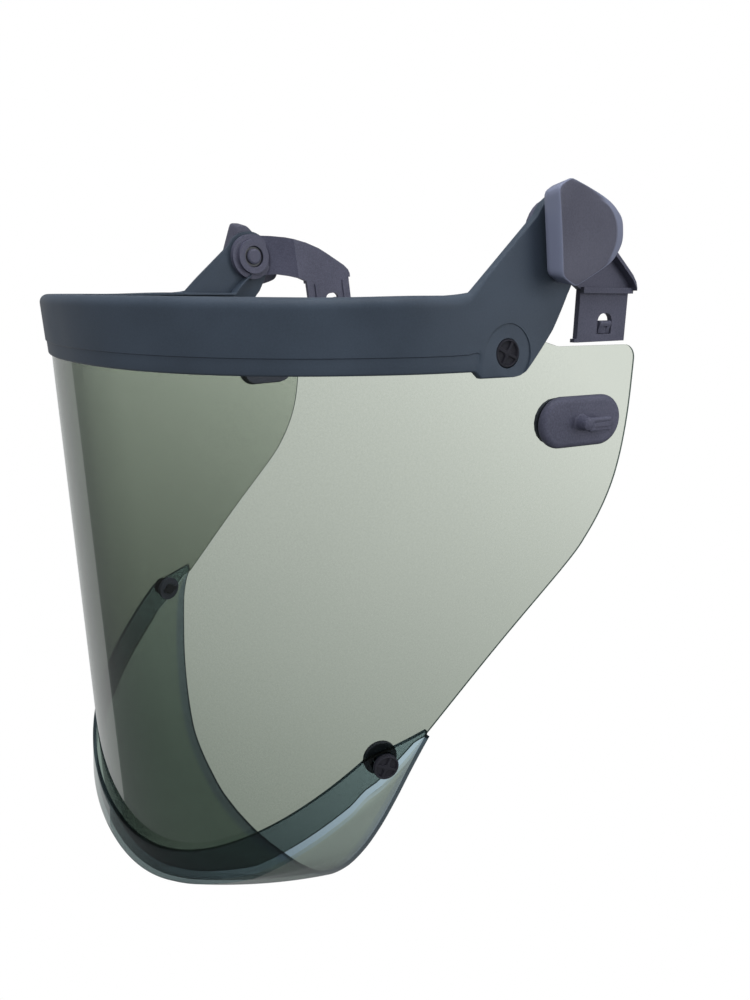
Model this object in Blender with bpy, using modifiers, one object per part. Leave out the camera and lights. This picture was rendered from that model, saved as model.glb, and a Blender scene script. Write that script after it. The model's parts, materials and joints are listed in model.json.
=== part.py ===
"""Face shield: a brow bracket with a tinted wrap-round window and a chin guard,
hung on two pivoting adapters whose blades drop into the accessory slots of a hard hat.

The origin is the middle of the pivot axis.  +X is the wearer's left, -Y is forward
and +Z is up.  Every size below is in metres.
"""
import math

import bmesh
import bpy
from mathutils import Matrix, Vector

MM = 0.001
GAP = 0.3 * MM                      # play kept between neighbouring pieces

# ---- window, seen from above: a flared U given on its outer surface ----
WINDOW_THICK = 1.5 * MM
PLAN_TOP_Z = -50 * MM               # height at which the plan sizes hold
PLAN_LOW_Z = -235 * MM              # the lean and the taper are given down to here
FRONT_Y = -151.5 * MM
FRONT_LEAN = 3.5 * MM                 # the front moves back by this, top to bottom
SIDE_X = 121.5 * MM
SIDE_TAPER = 2 * MM
SIDE_Y = -55 * MM                   # the straight sides start here
FLARE = 0.155                       # sideways rise of the straight sides per unit of depth
BULGE_FRONT = 70 * MM               # Bezier handles of the curved front
BULGE_SIDE = 64 * MM
CURVED_SHARE = 0.7                  # share of the plan parameter spent on the curved front
REAR_REACH = 110 * MM               # length of the straight sides in depth

# ---- window, seen from the side: (depth, height) ----
WINDOW_TOP_Z = -30 * MM             # hidden inside the brow bracket
WINDOW_STEP_Y = 0 * MM              # behind the arm the top edge steps down to the shoulder
WINDOW_SHOULDER_Z = -41.3 * MM
WINDOW_STEP_START_Y = -40 * MM
REAR_EDGE = [(41.3, -60), (41.1, -68), (40.4, -78), (38.9, -89), (36.2, -100),
             (31.6, -111), (24.6, -122.4), (14.5, -134.2), (-55, -200)]
REAR_CORNER_R = 6 * MM
LOWER_EDGE_LIFT = 3 * MM            # the lower edge ends this much above the chin guard's fold
LOWER_EDGE_DROP = 4 * MM            # and at least this much below the guard's upper edge

# ---- brow bracket ----
BROW_TOP_Z = -23.3 * MM
BROW_LOW_Z = -49.5 * MM
BROW_WALL_OUT = 1.8 * MM            # outer face at the lip, from the window's outer surface
BROW_DRAFT = 1.5 * MM               # the top stands out further than the lip by this
BROW_SHELF = 10 * MM                # inward reach of the top shelf
BROW_REAR_Y = -17 * MM
ARM_OUT_X = 128 * MM                # outer face of the arm at the pivot
ARM_THICK = 3 * MM
ARM_TOP_R = 15.5 * MM
ARM_BLEND_Z = (-50 * MM, -20.8 * MM)  # the arm leans from the bracket's face to the pivot's plane
SEAT_OUT = 1.2 * MM                  # floor of the counterbore for the stud's head

# ---- pivot stack, along +X from the head outwards ----
BOLT_R = 3.0 * MM
BORE_R = 3.35 * MM
DISC_R = 13.7 * MM
DISC_X = (121.0 * MM, 124.7 * MM)
BOSS_R = 10.4 * MM
BOSS_X = 118.6 * MM
BOSS_RECESS_R = 6.5 * MM
WASHER_X = (128.3 * MM, 129.3 * MM)
KNOB_X = (129.6 * MM, 139.2 * MM)
RIGHT_ADAPTER_TILT = math.radians(8.5)
RIGHT_KNOB_TURN = math.radians(-28)

# ---- adapter and blade ----
PLATE_OUT_X = 113.9 * MM            # outer face of the plate behind the jog
PLATE_THICK = 2.6 * MM
JOG_Y = (9 * MM, 26 * MM)
FLANGE_REACH = 3.5 * MM             # the plate's upper edge is turned outwards by this
FLANGE_THICK = 2 * MM
BLADE_X = (111.3 * MM, 113.7 * MM)
BLADE_Y = (31.5 * MM, 65.0 * MM)
PLATE_END_Y = 66.4 * MM
BLADE_Z = (-41.7 * MM, -18.0 * MM)
LEDGE_Z = (-21.0 * MM, -18.4 * MM)
SLOT_Y = 49.8 * MM
SLOT_HALF = 5.0 * MM
SLOT_LOW_Z = -38.4 * MM
SLOT_TOP_Z = -29.5 * MM
SLOT_CORNER_R = 3.6 * MM
TONGUE_HALF = 3.9 * MM
TONGUE_TOP_Z = -32.6 * MM

# ---- fasteners and hook plates ----
STUD_HEAD_R = 5.3 * MM
BROW_HEAD_THICK = 1.6 * MM          # sunk into the arm
CHIN_HEAD_THICK = 2.2 * MM
STUD_R = 3.0 * MM
RECEPTACLE_R = 7.2 * MM
RECEPTACLE_THICK = 2.2 * MM
BROW_STUD = (-26.5 * MM, -43 * MM)
CHIN_STUD = (-73.7 * MM, -206.3 * MM)
HOOK_CENTRE = (13 * MM, -71.6 * MM)
HOOK_LONG = 42 * MM
HOOK_TALL = 21 * MM
HOOK_THICK = 3.4 * MM
BACKING_THICK = 1.6 * MM
RIVET_OFFSET = 11.5 * MM
RIVET_R = 1.8 * MM

# ---- chin guard ----
CHIN_THICK = 1.8 * MM
CHIN_TIP_Y = -55 * MM
CHIN_KNEE_Y = -81 * MM              # the upper edge is almost level from the tip as far as here
CHIN_TIP_Z = -196 * MM
CHIN_KNEE_Z = -202.6 * MM
CHIN_SLOPE = 0.84                   # fall of the upper edge in front of the knee
CHIN_DIP = 8 * MM                   # and what it falls besides towards the very front
CHIN_BAND = [(-54, 3), (-58.4, 6.3), (-68, 12.5), (-75, 17.3), (-86, 21), (-119, 20.5),
             (-130, 17), (-140, 15), (-152, 14.5)]      # (depth, height of the band)
CHIN_STAND_OUT = 2.6 * MM           # the fold stands out from the band's upper edge in front
CHIN_LEDGE = 1.2 * MM               # the upper edge is this much further out in front than at the tip
CHIN_SAG = 3 * MM                   # the under side hangs below the line from fold to rim
CHIN_RIM = [(122, -54, -199), (121, -57.2, -205), (118.4, -60.8, -215), (113.5, -64.2, -230),
            (107, -67.8, -247), (99, -71, -263), (89, -74, -277.5), (76, -77, -289.5),
            (60, -79.2, -296), (40, -81.8, -298.7), (20, -84.2, -299.5), (0, -85, -299.5)]
CHIN_COLUMNS = 26                   # from the middle to each tip


# ------------------------------------------------------------------ geometry helpers
def clear_scene():
    for obj in list(bpy.data.objects):
        bpy.data.objects.remove(obj, do_unlink=True)


def bezier(a, b, c, d, t):
    s = 1 - t
    return a * s**3 + b * 3 * s * s * t + c * 3 * s * t * t + d * t**3


def half_plan(u, z):
    """Point of the window's outer surface in the half at +X, for u from 0 to 1."""
    k = max((PLAN_TOP_Z - z) / (PLAN_TOP_Z - PLAN_LOW_Z), 0)
    side = Vector((SIDE_X - SIDE_TAPER * k, SIDE_Y))
    along = Vector((FLARE, 1)).normalized()
    if u > CURVED_SHARE:
        reach = (u - CURVED_SHARE) / (1 - CURVED_SHARE) * REAR_REACH
        return side + Vector((FLARE, 1)) * reach
    front = Vector((0, FRONT_Y + FRONT_LEAN * k))
    return bezier(front, front + Vector((BULGE_FRONT, 0)), side - along * BULGE_SIDE, side,
                  u / CURVED_SHARE)


def wall(u, z, out=0.0):
    """Point at distance out from the window's outer surface; u < 0 is the half at -X."""
    step = 0.002
    v = abs(u)
    a = half_plan(max(v - step, 0), z)
    b = half_plan(v + step, z)
    run = (b - a).normalized()
    p = half_plan(v, z) + Vector((run.y, -run.x)) * out
    return Vector((math.copysign(p.x, u), p.y, z))


def u_at(y, z):
    """Plan parameter where the window reaches depth y."""
    low, high = 0.0, 1.0
    for _ in range(40):
        mid = (low + high) / 2
        if half_plan(mid, z).y < y:
            low = mid
        else:
            high = mid
    return low


def out_angle(y, z):
    """Turn about Z from +X to the outward normal of the window at depth y."""
    u = u_at(y, z)
    normal = wall(u, z, 1.0) - wall(u, z)
    return math.atan2(normal.y, normal.x)


def interpolate(points, y):
    """Height on a side outline of (depth, height) points, running from rear to front."""
    for (y0, z0), (y1, z1) in zip(points, points[1:]):
        if min(y0, y1) <= y <= max(y0, y1) and y0 != y1:
            return z0 + (z1 - z0) * (y - y0) / (y1 - y0)
    return points[0][1] if y > points[0][0] else points[-1][1]


def make_object(name, bm, smooth=30):
    bmesh.ops.recalc_face_normals(bm, faces=bm.faces)
    mesh = bpy.data.meshes.new(name)
    bm.to_mesh(mesh)
    bm.free()
    mesh.shade_smooth()
    mesh.set_sharp_from_angle(angle=math.radians(smooth))
    obj = bpy.data.objects.new(name, mesh)
    PARTS.objects.link(obj)
    return obj


def loft(name, rings, smooth=30):
    """Closed solid through rings that all have the same number of points."""
    bm = bmesh.new()
    loops = [[bm.verts.new(p) for p in ring] for ring in rings]
    count = len(rings[0])
    for low, high in zip(loops, loops[1:]):
        for i in range(count):
            j = (i + 1) % count
            bm.faces.new((low[i], low[j], high[j], high[i]))
    bm.faces.new(loops[0][::-1])
    bm.faces.new(loops[-1])
    return make_object(name, bm, smooth)


def shell(name, columns, thickness):
    """Open surface through columns of points, thickened inwards by Solidify."""
    bm = bmesh.new()
    lines = [[bm.verts.new(p) for p in column] for column in columns]
    for left, right in zip(lines, lines[1:]):
        for i in range(len(left) - 1):
            bm.faces.new((left[i], right[i], right[i + 1], left[i + 1]))
    mesh = bpy.data.meshes.new(name)
    bm.to_mesh(mesh)
    bm.free()
    obj = bpy.data.objects.new(name, mesh)
    PARTS.objects.link(obj)
    solid = obj.modifiers.new("Thickness", "SOLIDIFY")
    solid.thickness = thickness
    solid.offset = -1
    solid.use_even_offset = True
    mesh.shade_smooth()
    return obj


def cylinder(name, radius, x0, x1, y=0.0, z=0.0, segments=24):
    """Cylinder along X between x0 and x1."""
    bm = bmesh.new()
    turn = Matrix.Translation(((x0 + x1) / 2, y, z)) @ Matrix.Rotation(math.pi / 2, 4, "Y")
    bmesh.ops.create_cone(bm, cap_ends=True, segments=segments, radius1=radius, radius2=radius,
                          depth=abs(x1 - x0), matrix=turn)
    return make_object(name, bm)


def box(name, xs, ys, zs):
    bm = bmesh.new()
    size = Matrix.Diagonal((xs[1] - xs[0], ys[1] - ys[0], zs[1] - zs[0], 1))
    centre = Matrix.Translation((sum(xs) / 2, sum(ys) / 2, sum(zs) / 2))
    bmesh.ops.create_cube(bm, size=1, matrix=centre @ size)
    return make_object(name, bm)


def turned(name, profile, segments=24):
    """Solid of revolution about X; profile holds (x, radius) from one end to the other."""
    rings = []
    for x, radius in profile:
        rings.append([Vector((x, radius * math.cos(a), radius * math.sin(a)))
                      for a in (2 * math.pi * i / segments for i in range(segments))])
    return loft(name, rings)


def ring(name, outer, inner, x0, x1, segments=24):
    """Flat ring about X."""
    bm = bmesh.new()
    loops = []
    for x, radius in ((x0, outer), (x1, outer), (x1, inner), (x0, inner)):
        loops.append([bm.verts.new((x, radius * math.cos(2 * math.pi * i / segments),
                                    radius * math.sin(2 * math.pi * i / segments)))
                      for i in range(segments)])
    for k in range(4):
        a, b = loops[k], loops[(k + 1) % 4]
        for i in range(segments):
            j = (i + 1) % segments
            bm.faces.new((a[i], a[j], b[j], b[i]))
    return make_object(name, bm)


def outline_plate(name, points, x0, x1):
    """Flat outline of (depth, height) points, extruded along X between x0 and x1."""
    curve = bpy.data.curves.new(name, "CURVE")
    curve.dimensions = "2D"
    curve.fill_mode = "BOTH"
    curve.extrude = abs(x1 - x0) / 2
    spline = curve.splines.new("POLY")
    spline.points.add(len(points) - 1)
    for point, (y, z) in zip(spline.points, points):
        point.co = (y, z, 0, 1)
    spline.use_cyclic_u = True
    flat = bpy.data.objects.new(name + "_outline", curve)
    PARTS.objects.link(flat)
    flat.matrix_world = Matrix(((0, 0, 1, (x0 + x1) / 2), (1, 0, 0, 0), (0, 1, 0, 0), (0, 0, 0, 1)))
    return as_mesh(flat, name)


def as_mesh(flat, name):
    """Replace a curve object by a mesh object with welded caps."""
    bpy.context.view_layer.update()
    evaluated = flat.evaluated_get(bpy.context.evaluated_depsgraph_get())
    mesh = bpy.data.meshes.new_from_object(evaluated)
    bm = bmesh.new()
    bm.from_mesh(mesh)
    bm.transform(flat.matrix_world)
    bmesh.ops.remove_doubles(bm, verts=bm.verts, dist=0.00001)
    bpy.data.objects.remove(flat, do_unlink=True)
    return make_object(name, bm)


def stadium(name, length, height, x0, x1, steps=10):
    """Round-ended plate, long along Y, between x0 and x1."""
    r = height / 2
    half = length / 2 - r
    points = []
    for sign, start in ((1, -math.pi / 2), (-1, math.pi / 2)):
        for i in range(steps + 1):
            a = start + math.pi * i / steps
            points.append((sign * half + r * math.cos(a), r * math.sin(a)))
    return outline_plate(name, points, x0, x1)


def apply_modifiers(obj):
    bpy.context.view_layer.update()
    evaluated = obj.evaluated_get(bpy.context.evaluated_depsgraph_get())
    mesh = bpy.data.meshes.new_from_object(evaluated)
    obj.modifiers.clear()
    obj.data = mesh


def combine(target, tool, operation):
    """Apply an exact Boolean; the tool is removed."""
    mod = target.modifiers.new(operation.title(), "BOOLEAN")
    mod.operation = operation
    mod.solver = "EXACT"
    mod.object = tool
    apply_modifiers(target)
    bpy.data.objects.remove(tool, do_unlink=True)
    target.data.shade_smooth()
    target.data.set_sharp_from_angle(angle=math.radians(30))


def join(target, tool):
    combine(target, tool, "UNION")


def cut(target, tool):
    combine(target, tool, "DIFFERENCE")


def bevel(obj, width, segments=2, angle=40):
    mod = obj.modifiers.new("Edges", "BEVEL")
    mod.width = width
    mod.segments = segments
    mod.limit_method = "ANGLE"
    mod.angle_limit = math.radians(angle)
    apply_modifiers(obj)


def transform(obj, matrix):
    obj.data.transform(matrix)
    return obj


def stand(y, z):
    """Matrix from a local frame, with X as the outward normal, to the window at (y, z)."""
    u = u_at(y, z)
    return Matrix.Translation(wall(u, z)) @ Matrix.Rotation(out_angle(y, z), 4, "Z")


MIRROR_X = Matrix.Diagonal((-1, 1, 1, 1))


def mirrored(obj, name):
    """Mirror image of a left-hand piece as a new object."""
    mesh = obj.data.copy()
    mesh.transform(MIRROR_X)
    mesh.flip_normals()
    copy = bpy.data.objects.new(name, mesh)
    PARTS.objects.link(copy)
    copy.matrix_world = MIRROR_X @ obj.matrix_world @ MIRROR_X
    return copy


def both_sides(build, base):
    """Make the left piece and its mirror image; returns the two objects."""
    left = build("left_" + base)
    return left, mirrored(left, "right_" + base)


# ------------------------------------------------------------------ materials
def material(name, colour, roughness, metallic=0.0, alpha=1.0):
    mat = bpy.data.materials.new(name)
    mat.use_nodes = True
    shader = mat.node_tree.nodes["Principled BSDF"]
    shader.inputs["Base Color"].default_value = (*colour, 1)
    shader.inputs["Roughness"].default_value = roughness
    shader.inputs["Metallic"].default_value = metallic
    shader.inputs["Alpha"].default_value = alpha
    return mat


def paint(mat, *objects):
    for obj in objects:
        obj.data.materials.clear()
        obj.data.materials.append(mat)


# ------------------------------------------------------------------ window
def window_low_z(y):
    band = interpolate(CHIN_BAND, y / MM) * MM
    return chin_upper_z(y) - max(band - LOWER_EDGE_LIFT, LOWER_EDGE_DROP)


def window_top_z(y):
    """Top edge of the window, which steps down behind the arm."""
    if y < WINDOW_STEP_START_Y:
        return WINDOW_TOP_Z
    share = min((y - WINDOW_STEP_START_Y) / (WINDOW_STEP_Y - WINDOW_STEP_START_Y), 1)
    return WINDOW_TOP_Z + (WINDOW_SHOULDER_Z - WINDOW_TOP_Z) * share


def window_columns():
    """Rear edge, side and front columns of the window, each from its top to its low end."""
    rear = [(y * MM, z * MM) for y, z in REAR_EDGE]
    depths = [y for y, _ in rear[:-1]] + [SIDE_Y + i * 6 * MM for i in range(11, -1, -1)]
    depths += [rear[0][0] - REAR_CORNER_R * share for share in (0.35, 0.7, 1)]
    columns = []
    for y in sorted(set(depths), reverse=True):
        top = window_top_z(y)
        into_corner = y - (rear[0][0] - REAR_CORNER_R)
        if into_corner > 0:
            top -= REAR_CORNER_R - math.sqrt(max(REAR_CORNER_R**2 - into_corner**2, 0))
        low = interpolate(rear, y)
        columns.append((y, top, low))
    return columns


def window():
    points = []
    for y, top, low in window_columns():
        points.append([wall(u_at(y, top), top), wall(u_at(y, low), low)])
    front = 30
    for i in range(1, front + 1):
        u = CURVED_SHARE * (1 - i / front)
        low = window_low_z(half_plan(u, PLAN_LOW_Z).y)
        points.append([wall(u, WINDOW_TOP_Z), wall(u, low)])
    mirror = [[MIRROR_X @ p for p in column] for column in points[-2::-1]]
    obj = shell("window", points + mirror, WINDOW_THICK)
    apply_modifiers(obj)
    for matrix, radius in window_holes():
        for flip in (Matrix.Identity(4), MIRROR_X):
            tool = cylinder("hole", radius, -5 * MM, 5 * MM, segments=24)
            transform(tool, flip @ matrix)
            if flip == MIRROR_X:
                tool.data.flip_normals()
            cut(obj, tool)
    return obj


def window_holes():
    hook = stand(*HOOK_CENTRE)
    holes = [(stand(*BROW_STUD), STUD_R + 2 * GAP), (stand(*CHIN_STUD), STUD_R + 2 * GAP)]
    for sign in (1, -1):
        holes.append((hook @ Matrix.Translation((0, sign * RIVET_OFFSET, 0)), RIVET_R + GAP))
    return holes


# ------------------------------------------------------------------ brow bracket
def brow_section(u):
    """Closed section of the bracket across its length: outer wall, round top, inward shelf."""
    top, low = BROW_TOP_Z, BROW_LOW_Z
    out = BROW_WALL_OUT
    profile = [(GAP, low), (out - 1.0 * MM, low), (out, low + 1.2 * MM), (out + 0.4 * MM, low + 4 * MM),
               (out + BROW_DRAFT, top - 4 * MM), (out + BROW_DRAFT - 0.9 * MM, top - 1.5 * MM),
               (out + BROW_DRAFT - 3 * MM, top - 0.3 * MM), (0, top), (-BROW_SHELF, top),
               (-BROW_SHELF, top - 2.6 * MM), (GAP, top - 3.2 * MM)]
    return [wall(u, z, o) for o, z in profile]


def arm_depths(z):
    """Front and rear depth of the arm at height z."""
    front = [(-38.5, -52), (-41, -49.5), (-52, -25), (-49.3, -23.2), (-45.1, -21.2), (-14.0, 6.7)]
    rear = [(-22.5, -52), (-18.3, -50.6), (-15.2, -47.6), (-4.0, -35.0), (6.5, -20.8), (14.3, -6.0)]
    h = z / MM

    def walk(points):
        for (y0, z0), (y1, z1) in zip(points, points[1:]):
            if z0 <= h <= z1:
                return y0 + (y1 - y0) * (h - z0) / (z1 - z0)
        return None

    circle = math.sqrt(max(ARM_TOP_R**2 - z * z, 0)) / MM
    a = walk(front)
    b = walk(rear)
    return (-circle if a is None else a) * MM, (circle if b is None else b) * MM


def arm_out(y, z):
    """Outer face of the arm: the bracket's face low down, the pivot's plane at the top."""
    blend = min(max((z - ARM_BLEND_Z[0]) / (ARM_BLEND_Z[1] - ARM_BLEND_Z[0]), 0), 1)
    low = wall(u_at(y, PLAN_TOP_Z), PLAN_TOP_Z, BROW_WALL_OUT + 1.8 * MM).x
    return low + (ARM_OUT_X - low) * blend


def arm_inner(y, z):
    """Inner face of the arm; it thins where it passes over the window."""
    inner = arm_out(y, z) - ARM_THICK
    if z < window_top_z(y) + 2.5 * MM:
        inner = max(inner, wall(u_at(y, z), z, GAP).x)
    return inner


def arm(name):
    heights = [-52, -51.2, -49.5, -47.6, -44.5, -42, -40, -38, -36, -34, -32, -30, -28, -25,
               -23.2, -21.2, -20.8, -14, -6, 0, 3.4, 6.7, 9, 11, 13, 14.4, 15.3]
    rings = []
    for h in heights:
        z = h * MM
        front, rear = arm_depths(z)
        depths = [front + (rear - front) * i / 7 for i in range(8)]
        outer = [Vector((arm_out(y, z), y, z)) for y in depths]
        inner = [Vector((arm_inner(y, z), y, z)) for y in reversed(depths)]
        rings.append(outer + inner)
    return loft(name, rings)


def brow_bracket():
    u_rear = u_at(BROW_REAR_Y, PLAN_TOP_Z)
    count = 30
    sections = [brow_section(u_rear * (i / count)) for i in range(-count, count + 1)]
    obj = loft("brow_bracket", sections)
    for side in (Matrix.Identity(4), MIRROR_X):
        plate = transform(arm("arm"), side)
        if side == MIRROR_X:
            plate.data.flip_normals()
        join(obj, plate)
    for side in (Matrix.Identity(4), MIRROR_X):
        for tool, place in ((cylinder("bore", BORE_R, 110 * MM, 135 * MM), Matrix.Identity(4)),
                            (cylinder("seat", STUD_HEAD_R + GAP, SEAT_OUT, 9 * MM, segments=32),
                             stand(*BROW_STUD)),
                            (cylinder("bore", STUD_R + 2 * GAP, -4 * MM, 8 * MM, segments=24),
                             stand(*BROW_STUD))):
            transform(tool, side @ place)
            if side == MIRROR_X:
                tool.data.flip_normals()
            cut(obj, tool)
    return obj


# ------------------------------------------------------------------ chin guard
def chin_upper_z(y):
    if y > CHIN_KNEE_Y:
        return CHIN_TIP_Z + (CHIN_KNEE_Z - CHIN_TIP_Z) * (CHIN_TIP_Y - y) / (CHIN_TIP_Y - CHIN_KNEE_Y)
    ahead = CHIN_KNEE_Y - y
    return CHIN_KNEE_Z - CHIN_SLOPE * ahead - CHIN_DIP * (ahead / (CHIN_KNEE_Y - FRONT_Y))**4


def chin_rim(t):
    """Rear rim of the chin guard, from the middle at t = 0 to the tip at t = 1."""
    points = CHIN_RIM[::-1]
    spot = t * (len(points) - 1)
    i = min(int(spot), len(points) - 2)
    share = spot - i
    a, b = Vector(points[i]), Vector(points[i + 1])
    return (a + (b - a) * share) * MM


def chin_column(t):
    """Points of the outer surface from the upper edge down and under to the rear rim."""
    out = GAP + CHIN_THICK
    tip_u = u_at(CHIN_TIP_Y, CHIN_TIP_Z)
    u = tip_u * t
    y = half_plan(u, CHIN_KNEE_Z).y
    upper = chin_upper_z(y)
    band = interpolate(CHIN_BAND, y / MM) * MM
    out += CHIN_LEDGE * (1 - t * t)
    stand_out = (CHIN_STAND_OUT - CHIN_LEDGE) * (1 - t * t)
    rows = [wall(u, upper, out), wall(u, upper - band / 2, out + stand_out * 0.5),
            wall(u, upper - band, out + stand_out)]
    start = rows[-1]
    end = chin_rim(t)
    along = end - start
    sag = Vector((0, 0, -min(along.length * 0.1, CHIN_SAG)))
    for i in range(1, 7):
        rows.append(bezier(start, start + along / 3 + sag, start + along * 2 / 3 + sag, end, i / 6))
    return rows


def chin_guard():
    half = [chin_column(1 - i / CHIN_COLUMNS) for i in range(CHIN_COLUMNS + 1)]
    other = [[MIRROR_X @ p for p in column] for column in half[-2::-1]]
    obj = shell("chin_guard", half + other, CHIN_THICK)
    apply_modifiers(obj)
    for flip in (Matrix.Identity(4), MIRROR_X):
        tool = cylinder("hole", STUD_R + 2 * GAP, -5 * MM, 6 * MM, segments=24)
        transform(tool, flip @ stand(*CHIN_STUD))
        if flip == MIRROR_X:
            tool.data.flip_normals()
        cut(obj, tool)
    return obj


# ------------------------------------------------------------------ adapter and latch
def plate_out(y):
    """Outer face of the adapter: the disc's plane, a jog inwards, then the plate's plane."""
    share = min(max((y - JOG_Y[0]) / (JOG_Y[1] - JOG_Y[0]), 0), 1)
    return DISC_X[1] + (PLATE_OUT_X - DISC_X[1]) * share


def adapter(name):
    top = [(0, 13.4), (14, 11), (21.5, 9.2), (35, 4.4), (44, 0), (50.3, -4.2), (57, -9), (62.5, -13),
           (65.3, -16), (66.4, -18.6)]
    low = [(0, -12.2), (14.7, -12.6), (24, -15.6), (31.5, -19.5), (33, -21), (66.4, -21)]
    rings = []
    for depth in (2, 9, 14, 21.5, 26, 31.5, 35, 44, 50.3, 57, 62.5, 65.3, 66.4):
        y = depth * MM
        outer = plate_out(y)
        inner = outer - PLATE_THICK
        high = interpolate(top[::-1], depth) * MM
        under = interpolate(low[::-1], depth) * MM
        edge = outer + FLANGE_REACH * min(max((depth - 21.5) / 10, 0), 1)
        lip = high - min(FLANGE_THICK, (high - under) * 0.45)
        rings.append([Vector(p) for p in ((inner, y, under), (outer, y, under), (outer, y, lip),
                                          (edge, y, lip), (edge, y, high), (inner, y, high))])
    obj = loft(name, rings, 18)
    join(obj, cylinder("disc", DISC_R, DISC_X[0], DISC_X[1], segments=32))
    join(obj, cylinder("boss", BOSS_R, BOSS_X, DISC_X[0] + 0.4 * MM, segments=28))
    ledge_x = (BLADE_X[0], PLATE_OUT_X + 1.6 * MM)
    join(obj, box("ledge", ledge_x, (BLADE_Y[0], PLATE_END_Y - 0.2 * MM), (LEDGE_Z[0] + 0.05 * MM, LEDGE_Z[1])))
    blade = box("blade", BLADE_X, BLADE_Y, BLADE_Z)
    join(obj, blade)
    join(obj, box("nib", BLADE_X, (BLADE_Y[0] - 1.6 * MM, BLADE_Y[0] + 1 * MM),
                  (BLADE_Z[0] + 0.05 * MM, BLADE_Z[0] + 1.6 * MM)))
    for y in (38 * MM, 60 * MM):
        join(obj, box("rib", (BLADE_X[0] - 1.0 * MM, BLADE_X[0] + 0.5 * MM), (y - 0.9 * MM, y + 0.9 * MM),
                      (BLADE_Z[0] + 3 * MM, LEDGE_Z[0] - 1 * MM)))
    cut(obj, cylinder("recess", BOSS_RECESS_R, BOSS_X - 2 * MM, DISC_X[0]))
    cut(obj, cylinder("bore", BORE_R, BOSS_X - 2 * MM, DISC_X[1] + 2 * MM))
    arch = []
    for sign, start in ((1, 0), (-1, math.pi / 2)):
        for i in range(7):
            a = start + math.pi / 2 * i / 6
            arch.append((SLOT_Y + sign * (SLOT_HALF - SLOT_CORNER_R) + SLOT_CORNER_R * math.cos(a),
                         SLOT_TOP_Z - SLOT_CORNER_R + SLOT_CORNER_R * math.sin(a)))
    foot = [(SLOT_Y - SLOT_HALF, SLOT_LOW_Z), (SLOT_Y + SLOT_HALF, SLOT_LOW_Z)]
    slot = outline_plate("slot", arch + foot, BLADE_X[0] - 2 * MM, BLADE_X[1] + 2 * MM)
    cut(obj, slot)
    obj.data.set_sharp_from_angle(angle=math.radians(18))
    return obj


def latch_tongue(name):
    """Spring tongue in the blade's slot, rooted at its low end."""
    low = SLOT_LOW_Z + GAP
    rings = []
    for z, inner, outer in ((low, 0.3, 2.2), (low + 2 * MM, 0.2, 2.3), (TONGUE_TOP_Z - 2 * MM, 0.2, 3.4),
                            (TONGUE_TOP_Z - 0.5 * MM, 0.4, 3.0), (TONGUE_TOP_Z, 0.6, 2.2)):
        xs = (BLADE_X[0] + inner * MM, BLADE_X[0] + outer * MM)
        ys = (SLOT_Y - TONGUE_HALF, SLOT_Y + TONGUE_HALF)
        rings.append([Vector((x, y, z)) for x, y in ((xs[0], ys[0]), (xs[1], ys[0]),
                                                    (xs[1], ys[1]), (xs[0], ys[1]))])
    return loft(name, rings)


# ------------------------------------------------------------------ knob and pivot hardware
def knob_outline():
    """Shield-shaped outline of the knob in (depth, height), with rounded corners."""
    corners = [((-15.6, 15.3), 2), ((-9.4, 18.8), 2), ((14.0, 13.0), 8), ((24.8, 7.0), 3),
               ((26.4, -1.4), 3), ((20.8, -8.2), 5), ((9.4, -13.4), 6), ((-2.8, -18.8), 1.5),
               ((-5.6, -17.6), 1.5), ((-10.4, -15.4), 2)]
    points = []
    count = len(corners)
    for i, (corner, radius) in enumerate(corners):
        here = Vector(corner)
        before = (Vector(corners[i - 1][0]) - here)
        after = (Vector(corners[(i + 1) % count][0]) - here)
        a = here + before.normalized() * min(radius, before.length * 0.45)
        b = here + after.normalized() * min(radius, after.length * 0.45)
        for k in range(5):
            t = k / 4
            p = a * (1 - t)**2 + here * 2 * t * (1 - t) + b * t * t
            points.append((p.x * MM, p.y * MM))
    return points


def knob(name):
    outline = knob_outline()
    x0, x1 = KNOB_X
    rings = []
    for x, scale in ((x0, 0.9), (x0 + 0.8 * MM, 0.93), (x1 - 2.2 * MM, 1.0), (x1 - 0.8 * MM, 0.98),
                     (x1, 0.93)):
        rings.append([Vector((x, y * scale + 0.3 * MM * (1 - scale), z * scale)) for y, z in outline])
    obj = loft(name, rings)
    nut = bmesh.new()
    place = Matrix.Translation((x0 + 1.5 * MM, 0, 0)) @ Matrix.Rotation(math.pi / 2, 4, "Y")
    bmesh.ops.create_cone(nut, cap_ends=True, segments=6, radius1=6.2 * MM, radius2=6.2 * MM,
                          depth=7 * MM, matrix=place)
    cut(obj, make_object("pocket", nut))
    cut(obj, cylinder("bore", BORE_R, x0 - 1 * MM, x0 + 8 * MM, segments=24))
    return obj


def knob_nut(name):
    bm = bmesh.new()
    place = Matrix.Translation((KNOB_X[0] + 2.5 * MM, 0, 0)) @ Matrix.Rotation(math.pi / 2, 4, "Y")
    bmesh.ops.create_cone(bm, cap_ends=True, segments=6, radius1=5.7 * MM, radius2=5.7 * MM,
                          depth=4.2 * MM, matrix=place)
    obj = make_object(name, bm)
    cut(obj, cylinder("bore", BORE_R, KNOB_X[0] - 2 * MM, KNOB_X[0] + 8 * MM, segments=24))
    return obj


def pivot_bolt(name):
    head = BOSS_X - 0.9 * MM
    return turned(name, [(head, 3.6 * MM), (head + 0.5 * MM, 4.6 * MM), (head + 1.9 * MM, 4.9 * MM),
                         (head + 2.0 * MM, BOLT_R), (KNOB_X[0] + 6.5 * MM, BOLT_R),
                         (KNOB_X[0] + 7.2 * MM, BOLT_R - 0.7 * MM)])


def spring_washer(name):
    return ring(name, 6.1 * MM, BORE_R, DISC_X[0] - 1.0 * MM, DISC_X[0] - GAP)


def friction_washer(name):
    return ring(name, 9.5 * MM, BORE_R, *WASHER_X, segments=28)


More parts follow.
